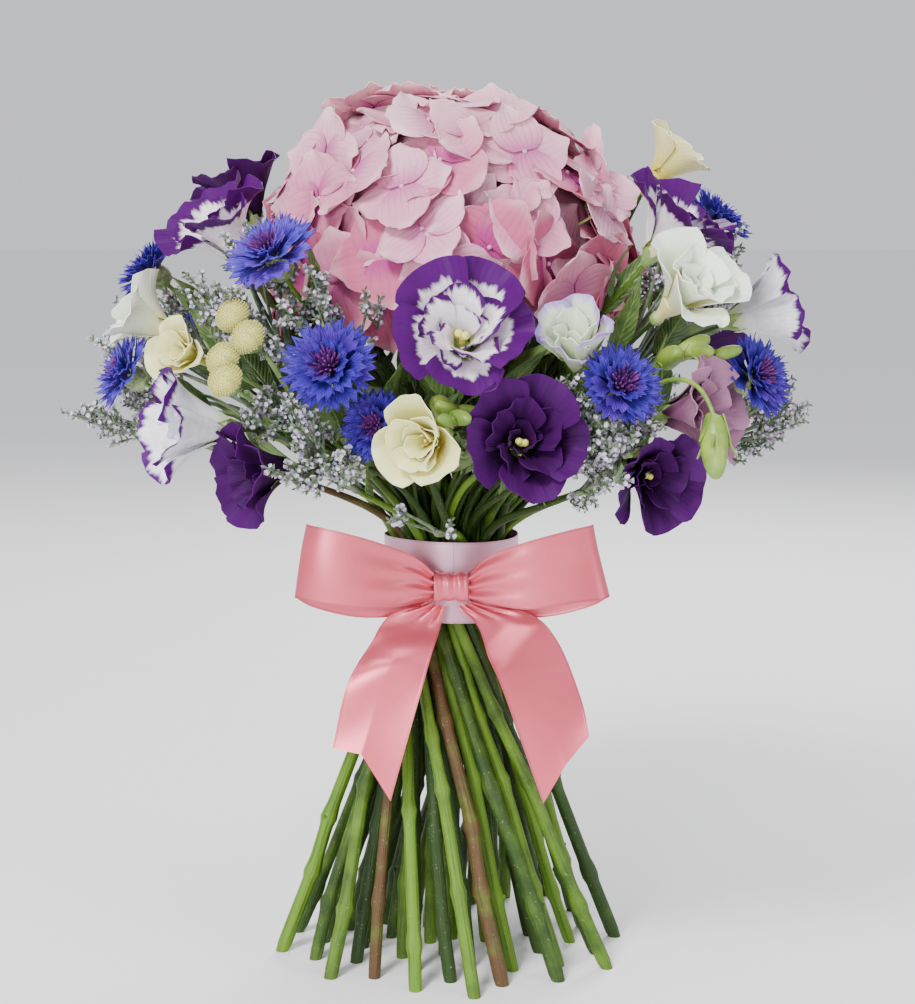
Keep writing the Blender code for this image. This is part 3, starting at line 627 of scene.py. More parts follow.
def scattered(name, points, facings, florets, finish, seed, smallest, largest):
    """A plain mesh of florets, one on each point, picked and sized by the seeded tree."""
    ground = bpy.data.meshes.new(name)
    ground.from_pydata(points, [], [])
    facing = ground.attributes.new("facing", "FLOAT_VECTOR", "POINT")
    facing.data.foreach_set("vector", np.array(facings, float).ravel())
    holder = bpy.data.objects.new(name, ground)
    bpy.context.scene.collection.objects.link(holder)
    kinds = bpy.data.collections.new(name)
    for index, floret in enumerate(florets):
        kinds.objects.link(bpy.data.objects.new(f"{name}_{index}", floret))
    tree = scatter_tree()
    modifier = holder.modifiers.new("Florets", "NODES")
    modifier.node_group = tree
    given = {
        "Florets": kinds,
        "Seed": seed,
        "Smallest": smallest,
        "Largest": largest,
        "Finish": finish,
    }
    for item in tree.interface.items_tree:
        if item.in_out == "INPUT" and item.name in given:
            modifier[item.identifier] = given[item.name]
    graph = bpy.context.evaluated_depsgraph_get()
    mesh = bpy.data.meshes.new_from_object(holder.evaluated_get(graph))
    holder.modifiers.remove(modifier)
    bpy.data.objects.remove(holder)
    for floret in list(kinds.objects):
        bpy.data.objects.remove(floret)
    bpy.data.collections.remove(kinds)
    mesh.materials.clear()
    smoothed(mesh)
    return mesh


# Finishes: shader maths as Python expressions


class Term:
    """A socket's value in an expression. Each operator adds a Math node."""

    def __init__(self, finish, socket):
        self.finish = finish
        self.socket = socket

    def __add__(self, other):
        return self.finish.maths("ADD", self, other)

    def __radd__(self, other):
        return self.finish.maths("ADD", other, self)

    def __sub__(self, other):
        return self.finish.maths("SUBTRACT", self, other)

    def __rsub__(self, other):
        return self.finish.maths("SUBTRACT", other, self)

    def __mul__(self, other):
        return self.finish.maths("MULTIPLY", self, other)

    def __rmul__(self, other):
        return self.finish.maths("MULTIPLY", other, self)


class Finish:
    """A material in the making, on one Principled shader."""

    def __init__(self, name, roughness=0.5, **uniform):
        self.material = bpy.data.materials.new(name)
        self.material.use_nodes = True
        self.tree = self.material.node_tree
        self.shader = self.tree.nodes["Principled BSDF"]
        self.shader.inputs["Roughness"].default_value = roughness
        for socket, value in uniform.items():
            self.shader.inputs[socket.replace("_", " ")].default_value = value
        self.place = self.term("Object", "ShaderNodeTexCoord")
        marks = self.term("Vector", "ShaderNodeAttribute", {"attribute_name": "marks"})
        self.across, self.along, _ = self.parts(marks)
        self.tint = self.term("Fac", "ShaderNodeAttribute", {"attribute_name": "tint"})

    def node(self, kind, settings=(), links=()):
        """A node of this type in the material."""
        return add_node(self.tree, kind, settings, links)

    def term(self, output, kind, settings=(), links=()):
        """One output of a new node, for use in an expression."""
        return Term(self, self.node(kind, settings, links).outputs[output])

    def maths(self, operation, *values):
        """A Math node on terms or numbers."""
        return self.term(0, "ShaderNodeMath", {"operation": operation}, dict(enumerate(values)))

    def stripes(self, angle):
        """Fine lines: 0 on each line, and 1 halfway between two."""
        return self.maths("ABSOLUTE", self.maths("SINE", angle))

    def step(self, value, low, high):
        """0 below low, 1 above high, and smooth between."""
        return self.term(
            0,
            "ShaderNodeMapRange",
            {"interpolation_type": "SMOOTHSTEP"},
            {"Value": value, "From Min": low, "From Max": high},
        )

    def mix(self, factor, first, second):
        """A colour that runs from the first to the second."""
        links = {"Factor": factor, 6: first, 7: second}
        return self.term(2, "ShaderNodeMix", {"data_type": "RGBA"}, links)

    def noise(self, scale, detail, vector=None):
        """Soft patches of this scale over the surface, or over a vector of its own."""
        links = {"Vector": vector or self.place, "Scale": scale, "Detail": detail}
        return self.term("Fac", "ShaderNodeTexNoise", links=links)

    def joined(self, x, y):
        """A vector from two numbers or terms."""
        return self.term(0, "ShaderNodeCombineXYZ", links={"X": x, "Y": y})

    def parts(self, vector):
        """The three numbers of a vector."""
        made = self.node("ShaderNodeSeparateXYZ", links={"Vector": vector})
        return [Term(self, output) for output in made.outputs]

    def done(self, colour, height=None, depth=0.0):
        """Links the colour, and a bump from a height, and gives the material back."""
        self.tree.links.new(colour.socket, self.shader.inputs["Base Color"])
        if height:
            links = {"Height": height, "Distance": depth, "Strength": 1.0}
            bump = self.node("ShaderNodeBump", links=links)
            self.tree.links.new(bump.outputs["Normal"], self.shader.inputs["Normal"])
        return self.material


def petal_veins(finish, count):
    """Fine lines that run up a petal and fan with it."""
    drift = finish.noise(90, 2) * 2.4
    return finish.stripes(finish.across * count * math.pi + drift)


def sepal_finish(name, pale, rose, heart, cream):
    """Hydrangea: pale pink, rosier by floret, with a deep heart, streaks and cream-lit rims; paler and
    cream toward the top of the head as painted light from above, and rosier lower down as painted shade.
    """
    finish = Finish(
        name,
        0.6,
        Subsurface_Weight=0.15,
        Subsurface_Scale=0.003,
        Subsurface_Radius=(1.0, 0.5, 0.5),
        Specular_IOR_Level=0.2,
    )
    veins = petal_veins(finish, 4.0)
    mottle = finish.noise(110, 4)
    height = finish.parts(finish.place)[2]
    # Rosier lower on the head and paler higher up: painted shade below and painted light from above, over
    # each floret's own tint and mottle
    rose_share_and_painted_light = finish.tint + mottle * 0.3 - finish.step(height, 0.29, 0.40) * 0.55
    base = finish.mix(finish.step(rose_share_and_painted_light, -0.22, 0.72), pale, rose)
    # Cream over the top of the head: painted light from above
    base = finish.mix(finish.step(height, 0.375, 0.435) * 0.45, base, cream)
    base = finish.mix(finish.step(finish.along, 0.70, 1.05) * 0.40, base, cream)
    near = 1 - finish.step(finish.along + mottle * 0.25, 0.05, 0.66)
    coloured = finish.mix(near * (0.36 + finish.tint * 0.56), base, heart)
    fading = 1 - finish.step(finish.along, 0.35, 0.95)
    streak = (1 - finish.step(veins, 0.0, 0.35)) * fading * 0.42
    coloured = finish.mix(streak, coloured, heart)
    bead = 1 - finish.step(finish.along, -0.15, -0.05)
    coloured = finish.mix(bead, coloured, (0.70, 0.44, 0.54))
    stalk = 1 - finish.step(finish.along, -0.85, -0.5)
    coloured = finish.mix(stalk, coloured, (0.42, 0.46, 0.20))
    return finish.done(coloured, veins * 0.5 + mottle * 0.5, 0.00022)


def rimmed_finish(name, body, rim, throat, low, high, ragged, roughness=0.5):
    """A petal of one colour with a ragged rim of another, and a throat."""
    finish = Finish(
        name,
        roughness,
        Subsurface_Weight=0.06,
        Subsurface_Scale=0.002,
        Subsurface_Radius=(1.0, 0.8, 0.9),
        Specular_IOR_Level=0.1,
    )
    lines = petal_veins(finish, 7.0)
    strands = finish.joined(finish.across * 4.5 + finish.tint * 40, finish.along * 1.6)
    fine = finish.noise(1, 3, strands)
    mottle = finish.noise(220, 3)
    curve = finish.across * finish.across * 0.10
    edge = finish.along + (fine - 0.5) * ragged * 2 + curve
    coloured = finish.mix(finish.step(edge, low, high), body, rim)
    streak = (1 - finish.step(lines, 0.0, 0.35)) * finish.step(finish.along, 0.2, 0.7) * 0.10
    coloured = finish.mix(streak, coloured, rim)
    # Toward the base the throat colour: the pale kinds' own cream-green throat, and for the violet and
    # mauve kinds painted shade deep in the cup
    deep = 1 - finish.step(finish.along + mottle * 0.1, 0.10, 0.34)
    coloured = finish.mix(deep, coloured, throat)
    shade = finish.mix(finish.step(mottle, 0.3, 0.8) * 0.18, coloured, (0.02, 0.01, 0.04))
    return finish.done(shade, lines * 0.5 + fine * 0.5, 0.00015)


def plain_petal_finish(name, body, rim, throat, roughness=0.5, sheen=0.1):
    """A petal that shades from its throat to its rim, with faint veins."""
    finish = Finish(
        name, roughness, Subsurface_Weight=0.15, Subsurface_Scale=0.003, Sheen_Weight=sheen
    )
    lines = petal_veins(finish, 8.0)
    mottle = finish.noise(180, 4)
    coloured = finish.mix(finish.step(finish.along, 0.45, 1.0), body, rim)
    deep = 1 - finish.step(finish.along + mottle * 0.2, 0.14, 0.64)
    coloured = finish.mix(deep, coloured, throat)
    coloured = finish.mix((1 - finish.step(lines, 0.0, 0.3)) * 0.12, coloured, throat)
    coloured = finish.mix(finish.tint * 0.18, coloured, rim)
    return finish.done(coloured, lines * 0.5 + mottle * 0.5, 0.00015)


def ray_finish(name, light, deep, violet):
    """Cornflower rays: deep at the root, light and a little violet toward the teeth."""
    finish = Finish(name, 0.6, Specular_IOR_Level=0.3)
    mottle = finish.noise(240, 3)
    reach = finish.along + (mottle - 0.5) * 0.3
    coloured = finish.mix(finish.step(reach, 0.2, 1.0), deep, light)
    coloured = finish.mix(finish.step(finish.tint, 0.35, 1.0) * 0.55, coloured, violet)
    lines = finish.stripes(finish.across * 6 * math.pi)
    coloured = finish.mix((1 - finish.step(lines, 0.0, 0.4)) * 0.3, coloured, deep)
    return finish.done(coloured, lines, 0.0003)


def green_finish(name, light, dark, roughness=0.5, grain=90):
    """Buds, calyces and other small green parts: mottled, with a fine grain."""
    finish = Finish(name, roughness)
    mottle = finish.noise(grain, 4)
    coloured = finish.mix(finish.step(mottle + finish.tint * 0.3, 0.40, 0.85), dark, light)
    return finish.done(coloured, mottle, 0.0004)


def stem_finish(light, dark, woody):
    """Stems: bright to dark green by stem, a few woody, with long fibres and pale lenticels."""
    finish = Finish("cut stems", 0.50, Specular_IOR_Level=0.3)
    strands = finish.joined(finish.across * 9 + finish.tint * 31, finish.along * 5)
    fibres = finish.noise(1, 4, strands)
    patches = finish.noise(70, 3)
    green = finish.step(finish.tint + (patches - 0.5) * 0.6, 0.25, 0.75)
    coloured = finish.mix(green, dark, light)
    bark = finish.step(patches, 0.28, 0.55) * 0.4 + 0.6
    coloured = finish.mix(finish.step(finish.tint, 0.865, 0.875) * bark, coloured, woody)
    # Dark lines along the fibres where the bump is low: partly the stem's own streaks, partly painted
    # shade in its grooves
    streaks_and_groove_shade = (1 - finish.step(fibres, 0.30, 0.52)) * 0.6
    coloured = finish.mix(streaks_and_groove_shade, coloured, (0.016, 0.036, 0.010))
    specks = finish.step(finish.noise(900, 2), 0.66, 0.72) * 0.35
    coloured = finish.mix(specks, coloured, (0.42, 0.46, 0.22))
    return finish.done(coloured, fibres + patches * 0.5, 0.0007)


def leaf_finish(light, dark):
    """Leaves: a pale midrib, side veins and mottled green."""
    finish = Finish("leaves", 0.42, Subsurface_Weight=0.08, Subsurface_Scale=0.002)
    away = finish.maths("ABSOLUTE", finish.across)
    side = finish.stripes((finish.along * 11 - away * 2.4) * math.pi)
    mottle = finish.noise(120, 4)
    coloured = finish.mix(finish.step(mottle + finish.tint * 0.4, 0.4, 0.95), dark, light)
    rib = 1 - finish.step(away, 0.02, 0.14)
    coloured = finish.mix(rib * 0.6, coloured, (0.20, 0.30, 0.08))
    vein = 1 - finish.step(side, 0.0, 0.2)
    coloured = finish.mix(vein * 0.3, coloured, (0.13, 0.22, 0.05))
    return finish.done(coloured, side * 0.5 + mottle * 0.5, 0.0005)


def satin_finish(name, colour, painted_sheen, shadow, roughness):
    """Satin ribbon: a soft gloss from the shader, random patches of painted sheen, a woven selvedge
    darkened with a shadow colour that is partly painted shade, and fine threads.
    """
    finish = Finish(name, roughness, Metallic=0.3, Specular_IOR_Level=0.7)
    threads = finish.maths("SINE", finish.along * 900)
    weft = finish.maths("SINE", finish.across * 160)
    drift = finish.noise(26, 3)
    # Random patches lightened toward the sheen colour: painted sheen
    coloured = finish.mix(finish.step(drift, 0.30, 0.75) * 0.35, colour, painted_sheen)
    # The selvedge darkened toward the shadow colour: partly the woven edge's own tone, partly painted
    # shade
    edge = finish.step(finish.maths("ABSOLUTE", finish.across), 0.93, 0.955)
    coloured = finish.mix(edge * 0.45, coloured, shadow)
    return finish.done(coloured, threads * 0.2 + weft * 0.2 + edge * 2.0, 0.00002)


# Petals and flowers, each at its own base and along +Z


def cupped(across, along, length, width, ring, start, finish, count, tuck, ruffle, phase):
    """One petal of a whorl, in mm: it leans out by start degrees at its base and by finish
    at its rim, curls round the axis, and its rim ruffles."""
    start, finish = math.radians(start), math.radians(finish)
    run = along * (1 - 0.16 * across**2 * along)
    lean = start + (finish - start) * run
    reach = ring + length * (math.cos(start) - np.cos(lean)) / (finish - start)
    rise = length * (np.sin(lean) - math.sin(start)) / (finish - start)
    share = 0.92 + 0.48 * along
    half = np.minimum(width / 2, share * math.pi / count * reach)
    half = half * np.minimum(1, 0.12 + 5 * along) * (1 - 0.16 * along**6)
    turn = across * half / reach
    broad = ruffle * along**3 * np.sin(phase + 3.4 * across)
    fine = 0.42 * ruffle * along**5 * np.sin(2.1 * phase + 10.5 * across)
    push = tuck * across * np.minimum(1, 1.6 * along) + broad + fine
    inward = reach * (1 - np.cos(turn)) - push
    points = (reach - inward * np.cos(lean), reach * np.sin(turn), rise + inward * np.sin(lean))
    return np.stack(points, axis=-1) * MM


def whorl(shape, draw, size, petals, tuck, reach=1.0):
    """Petals round the axis, their row in mm before it is sized, marked as far along as reach."""
    count, base, lean_to, length, width, ring, start, turn, ruffle = petals
    across, along = lattice(11, 13)
    for index in range(count):
        points = cupped(
            across,
            along,
            length=length * size * draw.uniform(0.94, 1.03),
            width=width * size,
            ring=ring * size,
            start=start,
            finish=lean_to + draw.uniform(-6, 4),
            count=count,
            tuck=tuck,
            ruffle=ruffle * size,
            phase=1.7 * index + turn + draw.uniform(-0.4, 0.4),
        )
        angle = turn + math.tau * index / count + draw.uniform(-0.06, 0.06)
        raised = Matrix.Translation((0, 0, base * size * MM))
        points = turned(points, Matrix.Rotation(angle, 4, "Z") @ raised)
        shape.sheet(points, marked(across, reach * along, draw.random()), PETAL_THICK, PETALS)


def sepals(shape, count, base, ring, length, width, lean, curl=0.0, place=Matrix()):
    """Narrow green sepals that hug the base of a flower, in mm."""
    across, along = lattice(5, 5)
    half = width / 2 * np.sin(math.pi * (0.30 + 0.66 * along)) + 0.12
    tilt = math.radians(lean)
    for index in range(count):
        out = ring + length * along * math.sin(tilt) + curl * along**3 - 0.25 * across**2 * half
        high = length * along * math.cos(tilt) - 0.3 * curl * along**3
        points = np.stack([out, across * half, high], axis=-1) * MM
        turn = Matrix.Rotation(math.tau * index / count + 0.3, 4, "Z")
        lie = place @ turn @ Matrix.Translation((0, 0, base * MM))
        shape.sheet(turned(points, lie), marked(across, along, 0.5), 0.6 * MM, GREEN)


def lisianthus(size, draw, open_to=72, inner_to=34, outer=5, throat=3.6, inner=3):
    """Broad overlapping ruffled petals in a bowl, round a pale pistil and its stamens."""
    shape = Shape()
    # Each row: petals, base, lean, length, width, ring, lean at the base, turn, ruffle, reach
    whorls = (
        (outer, 7.0, open_to, 40, 54, 6.0, 12, 0.0, 3.0, 1.0),
        (outer, 7.2, 0.60 * open_to, 33, 46, 4.8, 8, 0.62, 2.6, 0.80),
        (inner, 7.5, inner_to, 22, 28, throat, 4, 0.2, 1.8, 0.72),
    )
    for *petals, reach in whorls:
        whorl(shape, draw, size, petals, tuck=2.8, reach=reach)
    cup = ((2.0, 0.0), (2.5, 1.5), (3.4, 4.0), (5.2, 7.0), (6.3, 9.0), (5.0, 10.2))
    shape.turn(scaled(cup, size), 12, finish=GREEN)
    sepals(shape, 5, 2.0 * size, 2.6 * size, 21 * size, 3.4 * size, 17, curl=2.5 * size)
    style = course_of([(0, 0, rise) for rise in (8, 14, 19, 22)], size)
    shape.tube(style, (1.6, 1.3, 1.5, 1.8), finish=HEART)
    knob = ((0.5, -1.8), (1.7, -0.9), (2.0, 0.2), (1.5, 1.3), (0.4, 1.9))
    for side in (-1, 1):
        spot = Matrix.Translation(Vector((1.5 * side, 0, 23)) * size * MM)
        shape.turn(scaled(knob, size), 8, 0.9, HEART, spot @ Matrix.Rotation(0.5 * side, 4, "Y"))
    stamen = ((2, 0, 8), (3.6, 0, 13), (5.0, 0, 17), (5.6, 0, 19.5))
    for index in range(5):
        turn = Matrix.Rotation(math.tau * index / 5 + draw.uniform(-0.2, 0.2), 3, "Z")
        shape.tube(course_of(stamen, size, turn), (0.35, 0.35, 1.0, 0.5), 5, 0.6, HEART)
    return shape


def freesia(size, draw, double):
    """Whorls of three rounded petals on a slim funnel, three or four deep, with pale stamens."""
    shape = Shape()
    open_to, ruffle, depth = (68, 2.2, 4) if double else (54, 1.7, 3)
    # Each row: lean, length, width, ring, lean at the base, turn
    whorls = (
        (open_to, 30, 34, 4.6, 18, 0.0),
        (0.65 * open_to, 27, 30, 2.8, 10, 1.05),
        (27, 21, 25, 2.1, 6, 0.45),
        (15, 17, 20, 1.5, 3, 1.5),
    )
    for petals in whorls[:depth]:
        whorl(shape, draw, size, (3, 12.5, *petals, ruffle), tuck=2.2)
    funnel = ((1.5, 0.0), (1.9, 3.0), (3.1, 8.0), (5.0, 12.5), (5.7, 15.0), (4.4, 15.6))
    shape.turn(scaled(funnel, size), 12, span=(0, 0.1))
    cup = ((2.0, -0.2), (2.7, 1.0), (2.9, 3.5), (2.2, 4.4))
    shape.turn(scaled(cup, size), 10, finish=GREEN)
    stamen = ((0.8, 0, 12), (1.6, 0, 17), (2.4, 0, 21), (2.7, 0, 24.5))
    for index in range(3):
        turn = Matrix.Rotation(math.tau * index / 3 + 0.5, 3, "Z")
        shape.tube(course_of(stamen, size, turn), (0.35, 0.35, 0.9, 0.5), 5, 0.6, HEART)
    style = course_of([(0, 0, rise) for rise in (12, 18, 24)], size)
    shape.tube(style, (0.4, 0.4, 0.7), 5, 0.9, HEART)
    return shape


def cornflower(size, draw):
    """Toothed trumpet rays in three whorls round a tuft of dark filaments, on a scaly egg."""
    shape = Shape()
    across, along = lattice(6, 9)
    notch = np.where(np.arange(9) % 2, 1.0, 0.0) * along**4
    # Each row: rays, lean, length, width, ring and base
    rays = (
        (9, 78, 18.4, 8.0, 3.0, 10.2),
        (8, 60, 17.2, 7.2, 2.4, 10.8),
        (7, 38, 14.0, 5.6, 1.8, 11.4),
    )
    for count, lean, length, width, ring, base in rays:
        for index in range(count):
            tilt = math.radians(lean + draw.uniform(-7, 5))
            long = length * size * draw.uniform(0.92, 1.04)
            run = long * along * (1 - 0.26 * notch - 0.05 * across**2)
            side = width * size * across * (0.06 + along**1.5)
            dish = (3.2 * across**2 * along + 2.0 * along**2 * (1 - across**2) * -0.5) * size
            out = ring + run * math.sin(tilt) - dish * math.cos(tilt)
            high = run * math.cos(tilt) + dish * math.sin(tilt)
            points = np.stack([out, side, high], axis=-1) * MM
            angle = math.tau * (index + 0.37 * lean) / count + draw.uniform(-0.1, 0.1)
            raised = Matrix.Translation((0, 0, base * size * MM))
            points = turned(points, Matrix.Rotation(angle, 4, "Z") @ raised)
            shape.sheet(points, marked(across, along, draw.random()), 0.35 * MM, PETALS)
    filaments = 34
    for index in range(filaments):
        wide = math.sqrt(index / filaments)
        turn = Matrix.Rotation(index * GOLDEN_ANGLE, 3, "Z")
        tall = draw.uniform(0.9, 1.05) * size
        filament = ((0.8 * wide, 0, 10), (3.0 * wide, 0, 15), (6.2 * wide, 0, 19.5), (7.6 * wide, 0, 21.5))
        course = course_of(filament, tall, turn)
        shape.tube(course, (0.4, 0.45, 0.7, 0.3), 5, draw.random(), HEART)
    egg = ((1.6, -0.3), (3.6, 1.0), (5.4, 3.5), (5.9, 6.0), (5.2, 8.5), (4.0, 10.6), (3.2, 11.6))
    shape.turn(scaled(egg, size), 14, finish=GREEN)
    scales = ((3.8, 0.6, 30), (5.4, 2.6, 14), (6.1, 4.8, -2), (5.9, 7.0, -12))
    for row, (ring, base, lean) in enumerate(scales):
        own = Matrix.Rotation(0.39 * row, 4, "Z")
        sepals(shape, 8, base * size, ring * size, 4.2 * size, 4.4 * size, lean, place=own)
    return shape


def floret(draw):
    """One hydrangea floret: four broad rounded sepals round a bead, on its stalk."""
    shape = Shape()
    across, along = lattice(9, 9)
    half = 13.6 * np.sqrt(1 - (1.84 * along - 0.90) ** 2)
    for index in range(4):
        tip = draw.uniform(0.6, 2.2) * (1 - np.abs(across)) ** 2 * along**8
        reach = 0.6 + draw.uniform(21.5, 25.0) * along * (1 - 0.10 * across**2) + tip
        lift = draw.uniform(-1.0, 5.0) * along**1.6 + draw.uniform(-1.6, 1.6) * across * along
        curl = draw.uniform(-3.0, 1.0) * along**2 * across**2
        ripple = draw.uniform(0.5, 1.2) * along**2 * np.sin(draw.uniform(0, 6) + 4.6 * across)
        crease = -0.8 * np.exp(-(across**2) * 7) * np.sin(math.pi * along)
        points = np.stack([reach, across * half, lift + curl + ripple + crease], axis=-1) * MM
        place = Matrix.Rotation(math.tau * index / 4 + draw.uniform(-0.12, 0.12), 4, "Z")
        raised = Matrix.Translation((0, 0, (1.1 if index % 2 else 0.2) * MM))
        shape.sheet(turned(points, raised @ place), marked(across, along, draw.random()), 0.4 * MM)
    bead = ((0.4, 0.2), (1.1, 0.8), (1.2, 1.5), (0.8, 2.1), (0.2, 2.4))
    shape.turn(bead, 8, span=(-0.3, -0.3))
    stalk = course_of([(0, 0, rise) for rise in (-30, -12, 0.4)], 1)
    shape.tube(stalk, (0.9, 0.8, 1.1), 5, span=(-1, -1))
    return shape


def statice_floret(draw, closed=False):
    """A small papery funnel with an uneven five-sided rim, or one that is still shut."""
    shape = Shape()
    if closed:
        shape.turn(((0.35, 0.0), (0.85, 1.3), (0.15, 3.0)), 3, draw.random())
        return shape
    profile = ((0.35, 0.0), (draw.uniform(1.2, 1.7), 2.5), (0.45, 1.7))
    lobes = draw.uniform(0.1, 0.25)
    shape.turn(profile, 5, relief=lambda angle, along: lobes * np.sin(2 * angle) * along)
    return shape


def button_tube(draw):
    """One tubular floret of a yellow button, open at its tip."""
    shape = Shape()
    profile = ((0.30, -0.6), (0.42, 0.8), (0.78, 1.7), (0.60, 1.75), (0.28, 1.2))
    shape.turn(profile, 5, draw.random())
    return shape


def phase(points, count):
    """The angle about +Z at which the widest parts of a shape with count petals lie."""
    reach = np.hypot(points[:, 0], points[:, 1])
    pull = reach**8 * np.exp(1j * count * np.arctan2(points[:, 1], points[:, 0]))
    return np.angle(pull.sum()) / count


def upright_points(node, facing):
    """The node's points turned so that the way it faces is +Z."""
    points = np.array([vert.co for vert in frame["nodes"][node].data.vertices])
    return points @ np.array(aimed(facing).to_3x3())


def seat_of(node, facing):
    """The middle of the node's lowest ring, along the way that it faces."""
    points = upright_points(node, facing)
    ring = np.unique(np.round(points[points[:, 2] < points[:, 2].min() + 0.3 * MM], 5), axis=0)
    return aimed(facing).to_3x3() @ Vector(ring.mean(axis=0))


def set_in(shape, own, node, facing, count):
    """Puts a flower made about +Z where its node stands, turned as the node is."""
    seat = seat_of(node, facing)
    upright = aimed(facing).to_3x3()
    points = upright_points(node, facing) - np.array(upright.inverted() @ seat)
    roll = phase(points, count) - phase(np.concatenate(own.points), count)
    matrix = Matrix.Translation(seat) @ aimed(facing, roll)
    shape.absorb(own, matrix)
    return matrix


def add_flowers(kind, name, finishes, count, make):
    """One piece of every flower of this kind, each with count petals and set in its place."""
    shape = Shape()
    rows = [row for row in FLOWERS if row[1] == kind]
    for node, _, size, azimuth, height in rows:
        set_in(shape, make(size), node, outward(azimuth, height), count)
    add_piece(name, shape.mesh(name), finishes, [row[0] for row in rows])


def colour(name, description, default):
    """A colour among the settings."""
    return bpy.props.FloatVectorProperty(
        name=name, description=description, default=default, size=3, subtype="COLOR"
    )


class BouquetSettings(bpy.types.PropertyGroup):
    """Sizes and colours that a florist would change."""

    florets: bpy.props.IntProperty(
        name="Florets", description="Hydrangea florets on the head", default=124, min=40, max=200
    )
    floret_lift: bpy.props.FloatProperty(
        name="Floret lift",
        description="How far florets stand in or out from the head's shell",
        default=7 * MM,
        unit="LENGTH",
    )
    pale_pink: colour("Pale pink", "Sepals of the hydrangea", (0.76, 0.385, 0.52))
    rose_pink: colour("Rose pink", "Deeper sepals", (0.50, 0.105, 0.205))
    heart_pink: colour("Heart pink", "Streaks at each heart", (0.36, 0.020, 0.21))
    # The cream also paints the light over the top of the hydrangea
    cream: colour("Cream", "Lit rims of the sepals", (0.88, 0.62, 0.64))
    twig_florets: bpy.props.IntProperty(
        name="Florets a twig", description="Statice florets on each twig", default=11, min=4, max=24
    )
    stem_knuckle: bpy.props.FloatProperty(
        name="Knuckle",
        description="How far a stem's nodes stand out, as a share",
        default=0.36,
        min=0,
        max=0.6,
    )
    thin_stems: bpy.props.IntProperty(
        name="Thin stems",
        description="Slim leafy stems between the flowers'",
        default=100,
        min=0,
        max=150,
    )
    ribbon_width: bpy.props.FloatProperty(
        name="Ribbon width",
        description="Width of the satin before it is tied",
        default=38 * MM,
        unit="LENGTH",
    )
    ribbon_folds: bpy.props.IntProperty(
        name="Folds", description="Pleats where the satin is gathered", default=3, min=1, max=8
    )
    satin: colour("Satin", "Colour of the bow", (0.69, 0.092, 0.142))


class BOUQUET_OT_hydrangea(bpy.types.Operator):
    """Covers the head's shell with four-lobed florets"""

    bl_idname = "bouquet.hydrangea"
    bl_label = "Hydrangea"

    def execute(self, context):
        given = context.scene.bouquet
        pale = given.pale_pink
        rose = given.rose_pink
        finish = sepal_finish("hydrangea sepals", pale, rose, given.heart_pink, given.cream)
        draw = random.Random(SEEDS["hydrangea"])
        points, facings = self.places(given, draw)
        kinds = [floret(draw).mesh(f"floret_{index}", tinted=False) for index in range(FLORET_KINDS)]
        mesh = scattered(
            "hydrangea_florets", points, facings, kinds, finish, seed=7, smallest=0.90, largest=1.06
        )
        add_piece("hydrangea_florets", mesh, [finish], ["hydrangea_head"])
        core = sepal_finish("hydrangea core", pale, pale, rose, pale)
        green = green_finish("floret stalks", (0.36, 0.40, 0.14), (0.16, 0.22, 0.05))
        heart = self.heart().mesh("hydrangea_heart")
        add_piece("hydrangea_heart", heart, [core, green])
        return {"FINISHED"}

    def places(self, given, draw):
        """Evenly spread places on the shell, and the way that each floret faces."""
        low = math.cos(math.radians(HEAD_EDGE))
        points = []
        facings = []
        for index in range(given.florets):
            rise = 1 - (1 - low) * (index + 0.4) / given.florets
            across = spun(index, math.sqrt(1 - rise * rise), rise, 0.5)
            half = HEAD_CROWN if rise > 0 else HEAD_SKIRT
            radii = (HEAD_RADIUS, HEAD_RADIUS, half)
            place = Vector([share * radius for share, radius in zip(across, radii)])
            normal = Vector([share / radius for share, radius in zip(across, radii)]).normalized()
            tilt = Vector([draw.uniform(-1, 1) for _ in range(3)]) * FLORET_TILT
            depth = draw.uniform(-1.1, 0.9) * given.floret_lift
            points.append(HEAD_CENTRE + place + normal * depth)
            facings.append((normal + tilt).normalized())
        return points, facings

    def heart(self):
        """The core that shows between florets, and the stalks under it."""
        heart = Shape()
        rows = [
            (CORE_RADIUS * radius, rise * (CORE_RADIUS if rise > 0 else CORE_SKIRT))
            for radius, rise in CORE_RINGS
        ]
        heart.turn(
            rows,
            36,
            place=Matrix.Translation(HEAD_CENTRE),
            span=(0.1, 0.3),
            relief=lambda angle, along: 0.03 * np.sin(7 * angle + 9 * along),
        )
        root = HEAD_CENTRE - Vector((0, 0, HEAD_BASE))
        for index in range(HEAD_STALKS):
            wide = 0.45 + 0.5 * (index / HEAD_STALKS)
            end = HEAD_CENTRE + spun(index, wide * HEAD_RADIUS, -18 * MM)
            middle = root.lerp(end, 0.5) - Vector((0, 0, 6 * MM))
            course = interpolate_bezier(root, root.lerp(middle, 0.8), middle.lerp(end, 0.5), end, 7)
            heart.tube(course, np.linspace(1.6, 1.0, 7), 6, 0.5, GREEN)
        return heart


class BOUQUET_OT_lisianthus(bpy.types.Operator):
    """Makes the ruffled cups, a piece for each colour"""

    bl_idname = "bouquet.lisianthus"
    bl_label = "Lisianthus"

    def execute(self, context):
        green = green_finish("lisianthus calyx", (0.30, 0.42, 0.14), (0.10, 0.20, 0.05))
        heart = green_finish("lisianthus pistil", (0.72, 0.66, 0.14), (0.36, 0.40, 0.06), 0.55, 300)
        draw = random.Random(SEEDS["lisianthus"])
        for kind, form in LISIANTHUS_KINDS.items():
            petal = rimmed_finish(f"{kind} petals", *LISIANTHUS_COLOURS[kind])
            finishes = [petal, green, heart]
            make = partial(lisianthus, draw=draw, **form)
            add_flowers(kind, f"{kind}_lisianthus", finishes, form.get("outer", 5), make)
        return {"FINISHED"}


